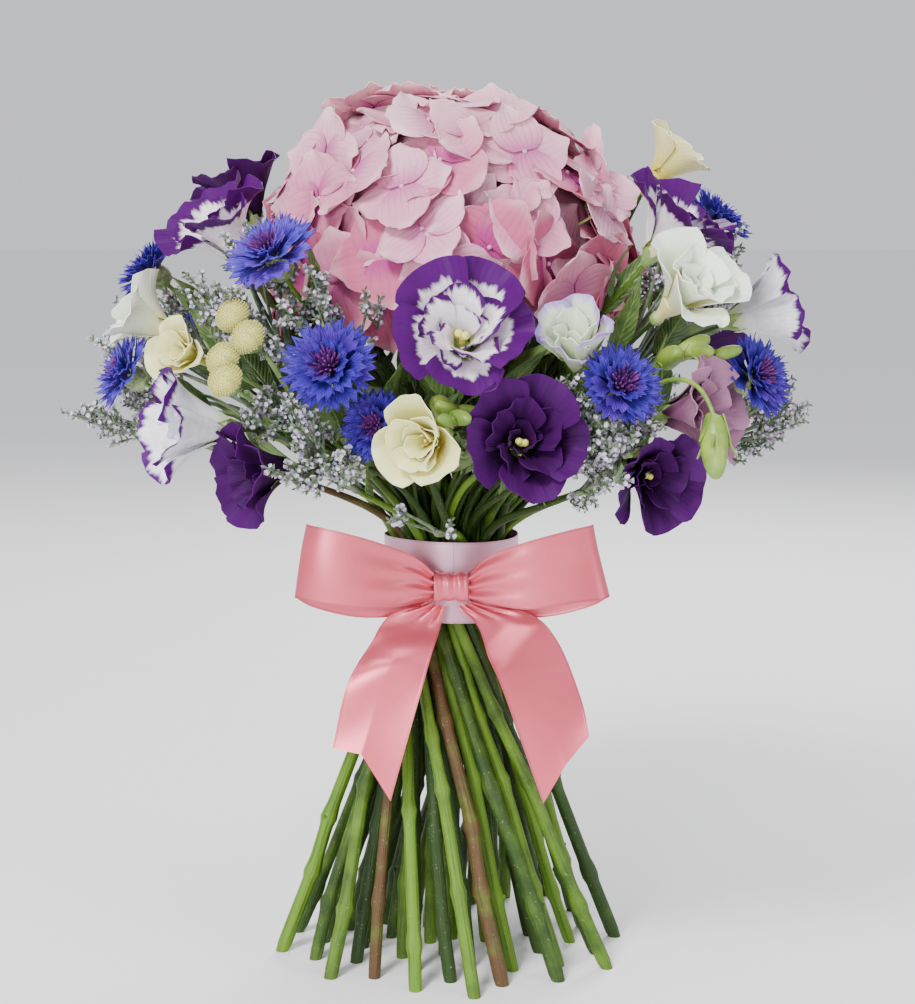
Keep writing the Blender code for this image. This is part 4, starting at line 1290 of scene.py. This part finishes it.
class BOUQUET_OT_cornflowers(bpy.types.Operator):
    """Makes the toothed blue cornflowers in two shades"""

    bl_idname = "bouquet.cornflowers"
    bl_label = "Cornflowers"

    def execute(self, context):
        green = green_finish("cornflower scales", (0.28, 0.36, 0.16), (0.07, 0.11, 0.05), 0.6, 500)
        dark = green_finish(
            "cornflower filaments", (0.15, 0.018, 0.20), (0.032, 0.005, 0.075), 0.5, 300
        )
        draw = random.Random(SEEDS["cornflowers"])
        for kind, colours in CORNFLOWER_KINDS.items():
            finishes = [ray_finish(*colours), green, dark]
            add_flowers(kind, f"{kind}s", finishes, 8, partial(cornflower, draw=draw))
        return {"FINISHED"}


class BOUQUET_OT_freesias(bpy.types.Operator):
    """Makes the cream and white freesias"""

    bl_idname = "bouquet.freesias"
    bl_label = "Freesias"

    def execute(self, context):
        green = green_finish("freesia bracts", (0.34, 0.46, 0.14), (0.14, 0.24, 0.06))
        heart = green_finish("freesia stamens", (0.86, 0.72, 0.30), (0.78, 0.56, 0.12), 0.55, 300)
        draw = random.Random(SEEDS["freesias"])
        for kind, (double, *colours) in FREESIA_KINDS.items():
            finishes = [plain_petal_finish(*colours), green, heart]
            make = partial(freesia, draw=draw, double=double)
            add_flowers(kind, f"{kind}s", finishes, 3, make)
        return {"FINISHED"}


class BOUQUET_OT_buttons(bpy.types.Operator):
    """Makes the yellow button flowers, each dome covered with small open tubes"""

    bl_idname = "bouquet.buttons"
    bl_label = "Buttons"

    def execute(self, context):
        yellow = plain_petal_finish(
            "button yellow", (0.74, 0.70, 0.22), (0.84, 0.80, 0.36), (0.56, 0.50, 0.10), 0.6, 0.0
        )
        green = green_finish("button stalks", (0.28, 0.40, 0.12), (0.10, 0.18, 0.05))
        draw = random.Random(SEEDS["buttons"])
        own = Shape()
        tubes = []
        for right, up in BUTTON_PLACES:
            tubes += self.head(own, Vector((right * MM, up * MM, BUTTON_STALK)))
        own.tube([Vector((0, 0, 0)), Vector((0, 0, 8 * MM))], (1.6, 1.2), 7, 0.5, GREEN)
        node, azimuth, height = BUTTONS
        shape = Shape()
        matrix = set_in(shape, own, node, outward(azimuth, height), 1)
        points = [matrix @ point for point, _ in tubes]
        facings = [matrix.to_3x3() @ way for _, way in tubes]
        kinds = [button_tube(draw).mesh(f"tube_{index}", tinted=False) for index in range(3)]
        mesh = scattered(
            "button_tubes", points, facings, kinds, yellow, seed=5, smallest=0.50, largest=0.68
        )
        add_piece("button_domes", shape.mesh("button_domes"), [yellow, green], [node])
        add_piece("button_tubes", mesh, [yellow])
        return {"FINISHED"}

    def head(self, own, middle):
        """A dome in its cup on a stalk. Gives the place and way of each tube that covers it."""
        place = Matrix.Translation(middle)
        turns = np.linspace(0.2, 3.0, 9)
        dome = [
            (BUTTON_DOME * math.sin(turn), BUTTON_FLAT * BUTTON_DOME * -math.cos(turn))
            for turn in turns
        ]
        own.turn(dome, 18, 0.2, PETALS, place, span=(0.1, 0.4))
        cup = ((1.2, -8.2), (3.6, -7.0), (5.8, -4.4), (6.6, -2.6), (5.9, -2.4))
        own.turn(cup, 14, 0.4, GREEN, place)
        sepals(own, 9, -6.6, 3.2, 6.4, 3.0, 38, place=place)
        bottom = middle - Vector((0, 0, 7.6 * MM))
        fork = Vector((0, 0, 6 * MM))
        drop = Vector((0, 0, 16 * MM))
        course = interpolate_bezier(fork, fork.lerp(bottom, 0.4), bottom - drop, bottom, 9)
        own.tube(course, np.linspace(0.9, 1.1, 9), 6, 0.5, GREEN)
        tubes = []
        for index in range(BUTTON_TUBES):
            rise = 1 - 1.3 * (index + 0.5) / BUTTON_TUBES
            way = spun(index, math.sqrt(max(0, 1 - rise * rise)), rise)
            spot = Vector((way.x, way.y, way.z * BUTTON_FLAT)) * BUTTON_DOME * MM
            tubes.append((place @ spot, way))
        return tubes


class BOUQUET_OT_buds(bpy.types.Operator):
    """Makes the freesia buds on arching stalks and the long hanging bud"""

    bl_idname = "bouquet.buds"
    bl_label = "Buds"

    def execute(self, context):
        green = green_finish("bud green", (0.25, 0.37, 0.05), (0.085, 0.17, 0.02), 0.42, 70)
        draw = random.Random(SEEDS["buds"])
        shape = Shape()
        for node, azimuth, height, count in BUD_SPRAYS:
            set_in(shape, freesia_buds(count, draw), node, outward(azimuth, height), 1)
        node, azimuth, height = HANGING_BUD
        set_in(shape, hanging_bud(), node, outward(azimuth, height), 1)
        nodes = [row[0] for row in BUD_SPRAYS] + [node]
        add_piece("buds", shape.mesh("buds"), [green, green, green], nodes)
        return {"FINISHED"}


def bud(long, wide, folds=0.10):
    """A pointed bud along +Z with folded petals, its base at the origin."""
    own = Shape()
    turns = np.linspace(0.12, 3.06, 12)
    radii = [wide * math.sin(turn) ** 0.8 * (1.16 - 0.10 * turn) for turn in turns]
    heights = [long * (1 - math.cos(turn)) / 2 for turn in turns]
    profile = list(zip(radii, heights))
    own.turn(profile, 16, relief=lambda angle, along: folds * np.sin(3 * angle + 5 * along) * along)
    sepals(own, 2, 0.2, 0.6 * wide, 0.45 * long, 1.1 * wide, 16)
    return own


def freesia_buds(count, draw):
    """Plump buds in two rows along an arching stalk."""
    shape = Shape()
    arch = course_of(((0, 0, 0), (0, 0, 22), (0, 3, 48), (0, -14, 62)), 1)
    shape.tube(interpolate_bezier(*arch, 14), np.linspace(1.5, 0.9, 14), 7, 0.4, GREEN)
    for index in range(count):
        share = index / (count - 1)
        lean = Vector((0.7 if index % 2 else -0.7, -0.5 * share, 1)).normalized()
        long = 10 - 4 * share
        place = Vector((0, -12 * share**2, 34 + 24 * share)) * MM - lean * 0.25 * long * MM
        turn = aimed(lean, draw.uniform(0, 6))
        shape.absorb(bud(2.1 * long, 0.5 * long), Matrix.Translation(place) @ turn)
    return shape


def hanging_bud():
    """A pointed bud with narrow sepals, nodding from a long arched stalk."""
    shape = Shape()
    arch = course_of(((0, 0, 0), (0, 0, 40), (8, 22, 88), (22, -20, 86)), 1)
    shape.tube(interpolate_bezier(*arch, 24), np.linspace(1.3, 1.0, 24), 8, 0.4, GREEN)
    hang = Vector((0.2, -1, -0.25)).normalized()
    place = Matrix.Translation(arch[-1] - hang * 2.2 * MM) @ aimed(hang)
    shape.absorb(bud(29, 6.0, 0.14), place)
    sepals(shape, 3, 0.4, 2.6, 19, 2.6, 14, curl=3.0, place=place)
    return shape


class BOUQUET_OT_statice(bpy.types.Operator):
    """Makes forked twigs and scatters papery florets and shut buds along their tips"""

    bl_idname = "bouquet.statice"
    bl_label = "Statice"

    def execute(self, context):
        given = context.scene.bouquet
        papery = plain_petal_finish(
            "statice florets", (0.42, 0.38, 0.50), (0.72, 0.68, 0.80), (0.22, 0.22, 0.22), 0.75, 0.0
        )
        grey = green_finish("statice twigs", (0.17, 0.22, 0.14), (0.035, 0.065, 0.030), 0.75, 260)
        flowers = flower_tree()
        draw = random.Random(SEEDS["statice"])
        twigs = Shape()
        florets = ([], [])
        shut = ([], [])
        for _, azimuth, height, reach, count, half_spread in SPRAYS:
            axis = outward(azimuth, height)
            root = spray_root(axis, reach)
            stub = [root + axis * share * reach * MM for share in (0, 0.07, 0.14)]
            twigs.tube(stub, (1.7, 1.4, 0.9), 6)
            forks = min(MOST_FORKS, count + 1)
            for index in range(3 * count):
                start = root + axis * (0.02 + 0.06 * index / count) * reach * MM
                tip = spray_tip(flowers, draw, azimuth, height, half_spread, reach)
                bend = start + (axis + (tip - start).normalized()) * 0.2 * (tip - start).length
                lean = (tip - EYE).normalized()
                course = interpolate_bezier(start, bend, tip - lean * 14 * MM, tip, 10)
                twigs.tube(course, np.linspace(0.9, 0.5, 10), 5, draw.random())
                for fork in range(forks):
                    left = forks - 1 - fork
                    self.grow_fork(twigs, tip, lean, left, draw, given.twig_florets, florets, shut)
        nodes = [row[0] for row in SPRAYS]
        add_piece("statice_twigs", twigs.mesh("statice_twigs"), [grey], nodes)
        kinds = [statice_floret(draw) for _ in range(5)]
        self.strew("statice_florets", florets, kinds, papery, seed=3, smallest=0.60, largest=0.92)
        kinds = [statice_floret(draw, closed=True) for _ in range(3)]
        self.strew("statice_buds", shut, kinds, grey, seed=4, smallest=0.7, largest=1.0)
        return {"FINISHED"}

    def grow_fork(self, twigs, tip, lean, left, draw, count, florets, shut):
        """One of a twig's forks, the last of them straight on, with its florets along it."""
        side = aimed(lean, draw.uniform(0, 6)).to_3x3()
        begin = tip - lean * (6 + 4.0 * left) * MM
        aside = side @ Vector((1, 0, 0)) * (draw.uniform(0.5, 0.9) if left else 0)
        way = (lean + aside).normalized()
        long = draw.uniform(8, 12) * MM
        twigs.tube([begin, begin + way * long], (0.5, 0.35), 4, draw.random())
        for part in range(count):
            away = side @ spun(part)
            places, ways = shut if draw.random() < 0.5 else florets
            share = 0.15 + 0.9 * part / count
            places.append(begin + way * long * share + away * 0.4 * MM)
            ways.append((away + way * draw.uniform(0.4, 1.2)).normalized())

    def strew(self, name, places, kinds, finish, **draws):
        """Sets florets on their places and adds them as one piece."""
        florets = [kind.mesh(f"{name}_kind", tinted=False) for kind in kinds]
        mesh = scattered(name, *places, florets, finish, **draws)
        add_piece(name, mesh, [finish])


def spray_root(axis, reach):
    """Where a spray's twigs part."""
    return EYE + axis * SPRAY_ROOT * reach * MM


def spray_tip(flowers, draw, azimuth, height, half_spread, reach):
    """A place for a twig's tip inside its spray, beside the flowers and not over one."""
    for attempt in range(TWIG_TRIES):
        wide = half_spread * (0.5 + 0.02 * attempt)
        aside = azimuth + draw.uniform(-1, 1) * wide * 1.4
        turn = outward(aside, height + draw.uniform(-0.6, 1) * wide)
        tip = EYE + turn * reach * draw.uniform(0.86, 1.0) * MM
        view = VIEW_START - (tip - EYE).length + TWIG_VIEW
        beyond = flowers.ray_cast(EYE + turn * VIEW_START, -turn, view)[0]
        if beyond is None and flowers.find_nearest(tip)[3] > TWIG_ROOM:
            break
    return tip


def flower_tree():
    """Every flower of the model as one search tree."""
    points = []
    faces = []
    for name in [row[0] for row in FLOWERS] + ["hydrangea_head"]:
        mesh = frame["nodes"][name].data
        start = len(points)
        points += [vert.co.copy() for vert in mesh.vertices]
        faces += [[start + corner for corner in face.vertices] for face in mesh.polygons]
    return BVHTree.FromPolygons(points, faces)


def stem_seats(count):
    """Evenly packed places in the binding, from the middle out."""
    seats = []
    for index in range(count):
        radius = BUNDLE_RADIUS * math.sqrt(index / (count - 1))
        seats.append(spun(index) * radius)
    return seats


def wanted_seat(base):
    """Where in the binding a flower's stem belongs: on its own side, a little round the spiral."""
    way = base - EYE
    level = math.hypot(way.x, way.y)
    if level < MM:
        return Vector()
    side = Matrix.Rotation(math.radians(SEAT_TURN), 3, "Z") @ Vector((way.x, way.y, 0)).normalized()
    return side * min(1, 1.15 * level / way.length) * BUNDLE_RADIUS


def flower_bases():
    """Where every stem ends, and the way that its flower faces."""
    bases = [(HEAD_CENTRE - Vector((0, 0, HEAD_BASE)), Vector((0, 0, 1)))]
    rows = [(node, azimuth, height) for node, _, _, azimuth, height in FLOWERS]
    rows += [BUTTONS, HANGING_BUD]
    rows += [row[:3] for row in BUD_SPRAYS]
    for node, azimuth, height in rows:
        facing = outward(azimuth, height)
        bases.append((seat_of(node, facing), facing))
    for _, azimuth, height, reach, _, _ in SPRAYS:
        axis = outward(azimuth, height)
        bases.append((spray_root(axis, reach), axis))
    return bases


def clear_course(flowers, seat, radius, base, facing):
    """A way from the binding to a flower's base, after its room beside the other flowers."""
    start = stem_point(seat, TIE_HEIGHT + BINDING_HALF - STEM_OVERLAP)
    below = stem_point(seat, TIE_HEIGHT)
    best = None
    for lift in LIFTS:
        for swing in SWINGS:
            lifted = (facing + Vector((0, 0, lift))).normalized()
            arrive = Matrix.Rotation(math.radians(swing), 3, "Z") @ lifted
            gap = (base - start).length
            for first, second in BENDS:
                rise = start + (start - below).normalized() * gap * first
                bend = base - arrive * gap * second
                course = interpolate_bezier(start, rise, bend, base, COURSE_POINTS)
                room = min(flowers.find_nearest(point)[3] for point in course[2:-2]) - radius
                if best is None or room > best[0]:
                    best = (room, course)
                if room > CLEAR_ROOM:
                    return best
    return best


class BOUQUET_OT_stems(bpy.types.Operator):
    """Makes the spiralled stems with their knuckles and cut ends, and their leaves"""

    bl_idname = "bouquet.stems"
    bl_label = "Stems"

    def execute(self, context):
        given = context.scene.bouquet
        finish = stem_finish((0.118, 0.232, 0.014), (0.018, 0.046, 0.004), (0.095, 0.046, 0.016))
        cut = green_finish("cut ends", (0.70, 0.72, 0.42), (0.42, 0.50, 0.20), 0.7, 900)
        flowers = flower_tree()
        draw = random.Random(SEEDS["stems"])
        shape = Shape()
        leaves = Shape()
        self.grow_stems(shape, leaves, flowers, draw, given.stem_knuckle)
        self.grow_thin_stems(shape, leaves, flowers, draw, given.thin_stems)
        binding = ((1, -15), (31, -14.4), (32, -12), (32.1, 0), (32, 12), (31, 14.4), (1, 15))
        middle = Matrix.Translation(AXIS + Vector((0, 0, TIE_HEIGHT)))
        shape.turn(binding, 48, 0.3, 0, middle, lambda angle, along: 0.02 * np.sin(24 * angle))
        nodes = ["stems", "stem_fan"]
        add_piece("cut_stems", shape.mesh("cut_stems"), [finish, cut], nodes)
        green = leaf_finish((0.12, 0.20, 0.045), (0.030, 0.070, 0.016))
        add_piece("leaves", leaves.mesh("leaves"), [green])
        return {"FINISHED"}

    def grow_stems(self, shape, leaves, flowers, draw, knuckle):
        """A stem for every flower, from its cut end to the flower, each in a seat of its own."""
        bases = flower_bases()
        free = stem_seats(len(bases))
        for base, facing in sorted(bases, key=lambda end: (end[0] - EYE).normalized().z):
            wanted = wanted_seat(base)
            free.sort(key=lambda seat: (seat - wanted).length)
            radius = draw.uniform(2.3, 2.9)
            found = [(clear_course(flowers, seat, radius * MM, base, facing), seat) for seat in free[:2]]
            (_, course), seat = max(found, key=lambda pair: pair[0][0])
            free.remove(seat)
            foot, radii, knuckles = lower_stem(seat, radius, knuckle, draw)
            near = min((foot[0] - Vector(place) * MM).length for place in WOODY_FEET)
            tint = WOODY_TINT if near < WOODY_REACH else 0.85 * draw.random()
            shape.tube(course, np.linspace(0.9 * radius, 0.42 * radius, len(course)), 9, tint)
            shape.tube(foot, radii, STEM_SIDES, tint, end=CUT_END)
            shape.points[-1][:STEM_SIDES, 2] = 0
            for index in knuckles:
                side_bud(shape, Vector(foot[index]), radii[index], tint, draw)
            for index in draw.sample(LEAF_POINTS, STEM_LEAVES):
                leaf(leaves, flowers, course[index - 1 : index + 2], draw)

    def grow_thin_stems(self, shape, leaves, flowers, draw, count):
        """Slim stems that fill the fan between the flowers', with two leaves each."""
        for index in range(count):
            facing = outward(index * math.degrees(GOLDEN_ANGLE), draw.uniform(*THIN_HEIGHTS))
            seat = Vector((facing.x, facing.y, 0)) * BUNDLE_RADIUS * draw.uniform(0.7, 1.1)
            base = EYE + facing * draw.uniform(*THIN_REACH) * MM
            course = clear_course(flowers, seat, MM, base, facing)[1]
            shape.tube(course, np.linspace(1.3, 0.8, len(course)), 6, draw.uniform(0, 0.6))
            leaf(leaves, flowers, course[-4:-1], draw)
            leaf(leaves, flowers, course[-7:-4], draw)


def lower_stem(seat, radius, knuckle, draw):
    """The straight stem from the binding to its level cut end, its radii and its knuckles."""
    top = TIE_HEIGHT - BINDING_HALF + STEM_OVERLAP
    shares = np.linspace(0, 1, STEM_RINGS)
    course = [stem_point(seat, top * share) for share in shares]
    radii = radius * (1.28 - 0.28 * shares)
    places = [draw.uniform(*zone) for zone in KNUCKLE_ZONES]
    bends = [[draw.uniform(-KNUCKLE_BEND, KNUCKLE_BEND) for _ in places] for _ in range(2)]
    bends = np.array(bends) * MM
    shifts = [np.interp(shares, (0, *places, 1), (0, *bend, 0)) for bend in bends]
    course = [point + Vector((x, y, 0)) for point, x, y in zip(course, *shifts)]
    for place in places:
        radii = radii * (1 + knuckle * np.exp(-(((shares - place) / KNUCKLE_LENGTH) ** 2)))
    radii[0] *= 0.94
    return course, radii, [round(place * (len(shares) - 1)) for place in places]


def side_bud(shape, point, radius, tint, draw):
    """A small scar or side bud on a knuckle, pointing up and out."""
    angle = draw.uniform(0, math.tau)
    out = Vector((math.cos(angle), math.sin(angle), 0))
    facing = (out + Vector((0, 0, 0.8))).normalized()
    place = Matrix.Translation(point + out * (0.45 * float(radius) * MM)) @ aimed(facing)
    size = draw.uniform(0.7, 1.15)
    profile = scaled(((1.9, -1.2), (1.8, 0.6), (1.1, 2.2), (0.5, 2.9)), size)
    shape.turn(profile, 7, tint, place=place, span=(0.4, 0.5))


def leaf(leaves, flowers, course, draw):
    """A slim leaf from the middle of a short stretch of stem, folded along its rib and arched."""
    across, along = lattice(9, 5)
    root = course[1]
    run = (course[2] - course[0]).normalized()
    length, width = draw.uniform(30, 46), draw.uniform(8, 13)
    half = width / 2 * np.sin(math.pi * (0.06 + 0.94 * along) ** 0.8)
    sag = -0.25 * length * along**2 + 0.30 * np.abs(across) * half
    ripple = 0.5 * np.sin(17 * along + 2 * across) * across**2
    points = np.stack([length * along, across * half, sag + ripple], axis=-1) * MM
    for _ in range(LEAF_TRIES):
        aside = Vector((draw.uniform(-1, 1), draw.uniform(-1, 1), draw.uniform(-0.2, 1)))
        turn = aimed((run + 0.8 * aside).normalized(), draw.uniform(0, math.tau))
        lie = Matrix.Translation(root) @ turn @ Matrix.Rotation(-math.pi / 2, 4, "Y")
        placed = turned(points, lie)
        spots = placed[3::2, ::3].reshape(-1, 3)
        if spots[:, 2].min() < LEAF_LOW:
            continue
        if min(flowers.find_nearest(Vector(spot))[3] for spot in spots) > LEAF_ROOM:
            leaves.sheet(placed, marked(across, along, draw.random()), 0.5 * MM)
            return


# Ribbon

# Turns of the band round the binding, and of the wrap round the knot
BAND_TURNS = 1.06
WRAP_TURNS = 1.04

# Rows of a loop, in mm: distance to the side, depth, and height of the lower and upper edge
LOOP = (
    (9, -36.5, 182.0, 194.0),
    (20, -36.8, 175.5, 202.0),
    (44, -38.5, 174.0, 208.0),
    (66, -42.0, 179.5, 214.0),
    (75, -47.5, 185.5, 220.5),
    (72, -53.5, 185.5, 221.0),
    (58, -56.5, 184.0, 219.0),
    (36, -56.0, 181.0, 213.5),
    (18, -50.5, 183.0, 206.0),
    (9, -45.5, 184.5, 197.5),
)

# Rows of a tail, in mm: the places of its two edges
LEFT_TAIL = (
    ((-11, -41, 181.2), (-3, -43, 180.5)),
    ((-30, -44, 176), (-6, -47, 168)),
    ((-39, -49, 163), (-10, -53, 156)),
    ((-50, -54, 143), (-15, -59, 140)),
    ((-57, -58, 114), (-29, -62, 89)),
)
RIGHT_TAIL = (
    ((3, -43, 180.5), (11, -41, 181.2)),
    ((13, -47, 171), (37, -44, 177)),
    ((18, -53, 157), (51, -49, 164)),
    ((26, -59, 138), (62, -55, 139)),
    ((44, -63, 88), (66, -59, 120)),
)


def smooth_rows(rows, count):
    """More rows on a smooth course through the given ones."""
    rows = np.array(rows, float)
    padded = np.concatenate([2 * rows[:1] - rows[1:2], rows, 2 * rows[-1:] - rows[-2:-1]])
    found = []
    for place in np.linspace(0, len(rows) - 1 - 1e-9, count):
        index, t = int(place), place - int(place)
        a, b, c, d = padded[index : index + 4]
        square = 2 * a - 5 * b + 4 * c - d
        cubic = 3 * b - a - 3 * c + d
        found.append(0.5 * (2 * b + (c - a) * t + square * t**2 + cubic * t**3))
    return np.array(found)


def add_ribbon(name, points, thick, finish, nodes):
    """A ribbon through rows of points, as a piece."""
    across, along = lattice(*points.shape[:2])
    shape = Shape()
    shape.sheet(points, marked(across, along, 0.5), thick * MM)
    return add_piece(name, shape.mesh(name), [finish], nodes)


def bow_piece(name, rows, given, finish, knots, notch, count, sway):
    """Satin between paired points in mm, pleated at its knots where it is narrower than cut."""
    rows = smooth_rows(rows, count)
    across, along = lattice(count, 41)
    side = (across[..., None] + 1) / 2
    points = rows[:, None, 0] * (1 - side) + rows[:, None, 1] * side
    normal = np.cross(np.gradient(points, axis=1), np.gradient(points, axis=0))
    normal /= np.linalg.norm(normal, axis=-1, keepdims=True)
    folds = given.ribbon_folds
    wide = np.linalg.norm(rows[:, 1] - rows[:, 0], axis=-1)
    spare = np.maximum((given.ribbon_width / MM / wide) ** 2 - 1, 0)
    depth = np.minimum(np.sqrt(spare) * wide / (4 * folds), 1.2)[:, None]
    depth = depth * sum(np.exp(-(((along - knot) / 0.14) ** 2)) for knot in knots)
    wave = np.sin(math.pi * folds * (across + 1) + 0.7 * np.sin(6 * along))
    swell = sway * np.sin(2.6 * along * math.pi + 1.4 * across) * along * (1 - along)
    points = points + normal * (depth * wave + swell)[..., None]
    points[..., 2] += notch * (1 - np.abs(across)) * np.clip((along - 0.55) / 0.45, 0, 1)
    points = points * MM + np.array(AXIS)
    piece = add_ribbon(f"satin_{name}", points, 0.4, finish, [name])


class BOUQUET_OT_ribbon(bpy.types.Operator):
    """Winds the pale band and ties the satin bow, pleated where it is gathered"""

    bl_idname = "bouquet.ribbon"
    bl_label = "Ribbon"

    def execute(self, context):
        given = context.scene.bouquet
        # Each satin's second colour is its painted sheen, and its third the shadow colour that darkens its
        # selvedge, partly as painted shade
        satin = satin_finish("salmon satin", given.satin, (0.80, 0.15, 0.21), (0.42, 0.045, 0.07), 0.28)
        pale = satin_finish("pale satin", (0.68, 0.36, 0.48), (0.76, 0.48, 0.60), (0.50, 0.22, 0.34), 0.38)
        self.wind_band(pale)
        self.wrap_knot(satin, given.ribbon_folds)
        for side, name in ((-1, "bow_loop_left"), (1, "bow_loop_right")):
            rows = [
                ((side * x, y, low), (side * (x - 7 * (x / 75) ** 3), y, high))
                for x, y, low, high in LOOP
            ]
            bow_piece(name, rows, given, satin, knots=(0, 1), notch=0, count=44, sway=3.0)
        for name, rows, notch in (("bow_tail_left", LEFT_TAIL, 10), ("bow_tail_right", RIGHT_TAIL, 3)):
            bow_piece(name, rows, given, satin, knots=(0,), notch=notch, count=36, sway=9.0)
        return {"FINISHED"}

    def wind_band(self, finish):
        """A flat ribbon round the binding, lapped a little, with shallow creases."""
        across, along = lattice(120, 15)
        turn = along * BAND_TURNS * math.tau + math.radians(250)
        radius = BAND_RADIUS - 0.7 * MM + 0.6 * MM * along
        radius = radius + 0.25 * MM * np.sin(5 * turn + 2.5 * across) * (1 - across**2)
        lift = across * (BAND_HALF - 0.6 * MM) + 0.5 * MM * np.sin(2 * turn)
        places = (radius * np.cos(turn) + AXIS.x, radius * np.sin(turn) + AXIS.y, TIE_HEIGHT + lift)
        points = np.stack(places, axis=-1)
        piece = add_ribbon("satin_band", points, 0.35, finish, ["ribbon_band"])

    def wrap_knot(self, finish, folds):
        """The short pleated wrap that gathers the bow."""
        low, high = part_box("bow_knot")
        middle = (low + high) / 2
        half = (high - low) / 2
        across, along = lattice(72, 49)
        turn = along * WRAP_TURNS * math.tau + math.radians(60)
        waist = 1 - 0.16 * (1 - across**2)
        fold = 0.35 * MM * np.sin(math.pi * folds * (across + 1) + 0.6 * np.sin(turn))
        level, upright = [np.sign(way) * np.abs(way) ** 0.75 for way in (np.cos(turn), np.sin(turn))]
        places = (
            middle.x + across * (half.x - 0.3 * MM),
            middle.y + (waist * (half.y - 0.9 * MM) + fold) * level,
            middle.z + (waist * (half.z - 0.9 * MM) + fold) * upright,
        )
        points = np.stack(places, axis=-1)
        piece = add_ribbon("bow_wrap", points, 0.4, finish, ["bow_knot"])


class BOUQUET_OT_stage(bpy.types.Operator):
    """Sets the pale floor, the soft studio light and the camera at the photograph's angle"""

    bl_idname = "bouquet.stage"
    bl_label = "Stage"

    def execute(self, context):
        scene = context.scene
        corners = [(side * FLOOR_HALF, back * FLOOR_HALF, 0) for side, back in FLOOR_CORNERS]
        mesh = bpy.data.meshes.new("floor")
        mesh.from_pydata(corners, [], [(0, 1, 2, 3)])
        paper = Finish("floor paper", 0.85)
        grain = paper.mix(paper.noise(2, 2), (0.90, 0.90, 0.91), (0.92, 0.92, 0.92))
        mesh.materials.append(paper.done(grain))
        floor = bpy.data.objects.new("floor", mesh)
        scene.collection.objects.link(floor)
        floor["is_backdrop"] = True
        self.light(scene)
        lens = bpy.data.cameras.new("camera")
        lens.lens = CAMERA_LENS
        lens.sensor_width = CAMERA_SENSOR
        lens.clip_start = 0.05
        camera = bpy.data.objects.new("camera", lens)
        camera.location = (AXIS.x + CAMERA_SIDE, AXIS.y - CAMERA_BACK, CAMERA_HEIGHT)
        camera.rotation_euler = (math.radians(90 - CAMERA_FALL), 0, 0)
        scene.collection.objects.link(camera)
        scene.camera = camera
        return {"FINISHED"}

    def light(self, scene):
        """Soft light from all round, and four round lamps that face the posy."""
        world = bpy.data.worlds.new("studio")
        world.use_nodes = True
        sky = world.node_tree.nodes["Background"]
        sky.inputs["Color"].default_value = SKY_COLOUR
        sky.inputs["Strength"].default_value = SKY_STRENGTH
        scene.world = world
        target = AXIS + Vector((0, 0, LIT_HEIGHT))
        for name, offset, size, power in LAMPS:
            lamp = bpy.data.lights.new(name, "AREA")
            lamp.shape = "DISK"
            lamp.size = size
            lamp.energy = power
            light = bpy.data.objects.new(name, lamp)
            light.location = AXIS + Vector(offset)
            light.rotation_euler = (target - light.location).to_track_quat("-Z", "Y").to_euler()
            scene.collection.objects.link(light)


STEPS = (
    "hydrangea",
    "lisianthus",
    "cornflowers",
    "freesias",
    "buttons",
    "buds",
    "statice",
    "stems",
    "ribbon",
    "stage",
)


class BOUQUET_PT_panel(bpy.types.Panel):
    """Lists the bouquet's settings and steps"""

    bl_label = "Bouquet"
    bl_idname = "BOUQUET_PT_panel"
    bl_space_type = "VIEW_3D"
    bl_region_type = "UI"
    bl_category = "Bouquet"

    def draw(self, context):
        for name in BouquetSettings.__annotations__:
            self.layout.prop(context.scene.bouquet, name)
        for step in STEPS:
            self.layout.operator(f"bouquet.{step}")


CLASSES = (
    BouquetSettings,
    BOUQUET_OT_hydrangea,
    BOUQUET_OT_lisianthus,
    BOUQUET_OT_cornflowers,
    BOUQUET_OT_freesias,
    BOUQUET_OT_buttons,
    BOUQUET_OT_buds,
    BOUQUET_OT_statice,
    BOUQUET_OT_stems,
    BOUQUET_OT_ribbon,
    BOUQUET_OT_stage,
    BOUQUET_PT_panel,
)


def register():
    """Adds the classes and the settings."""
    for kind in CLASSES:
        bpy.utils.register_class(kind)
    bpy.types.Scene.bouquet = bpy.props.PointerProperty(type=BouquetSettings)


def unregister():
    """Takes the settings and the classes away."""
    del bpy.types.Scene.bouquet
    for kind in reversed(CLASSES):
        bpy.utils.unregister_class(kind)


def main():
    """Builds the posy and its stage."""
    register()
    for step in STEPS:
        getattr(bpy.ops.bouquet, step)()
    sizes = {"cad": CAD_BOX, "visual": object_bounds()}
    sizes = {
        name: [[round(float(place), 5) for place in corner] for corner in box]
        for name, box in sizes.items()
    }


if __name__ == "__main__":
    main()
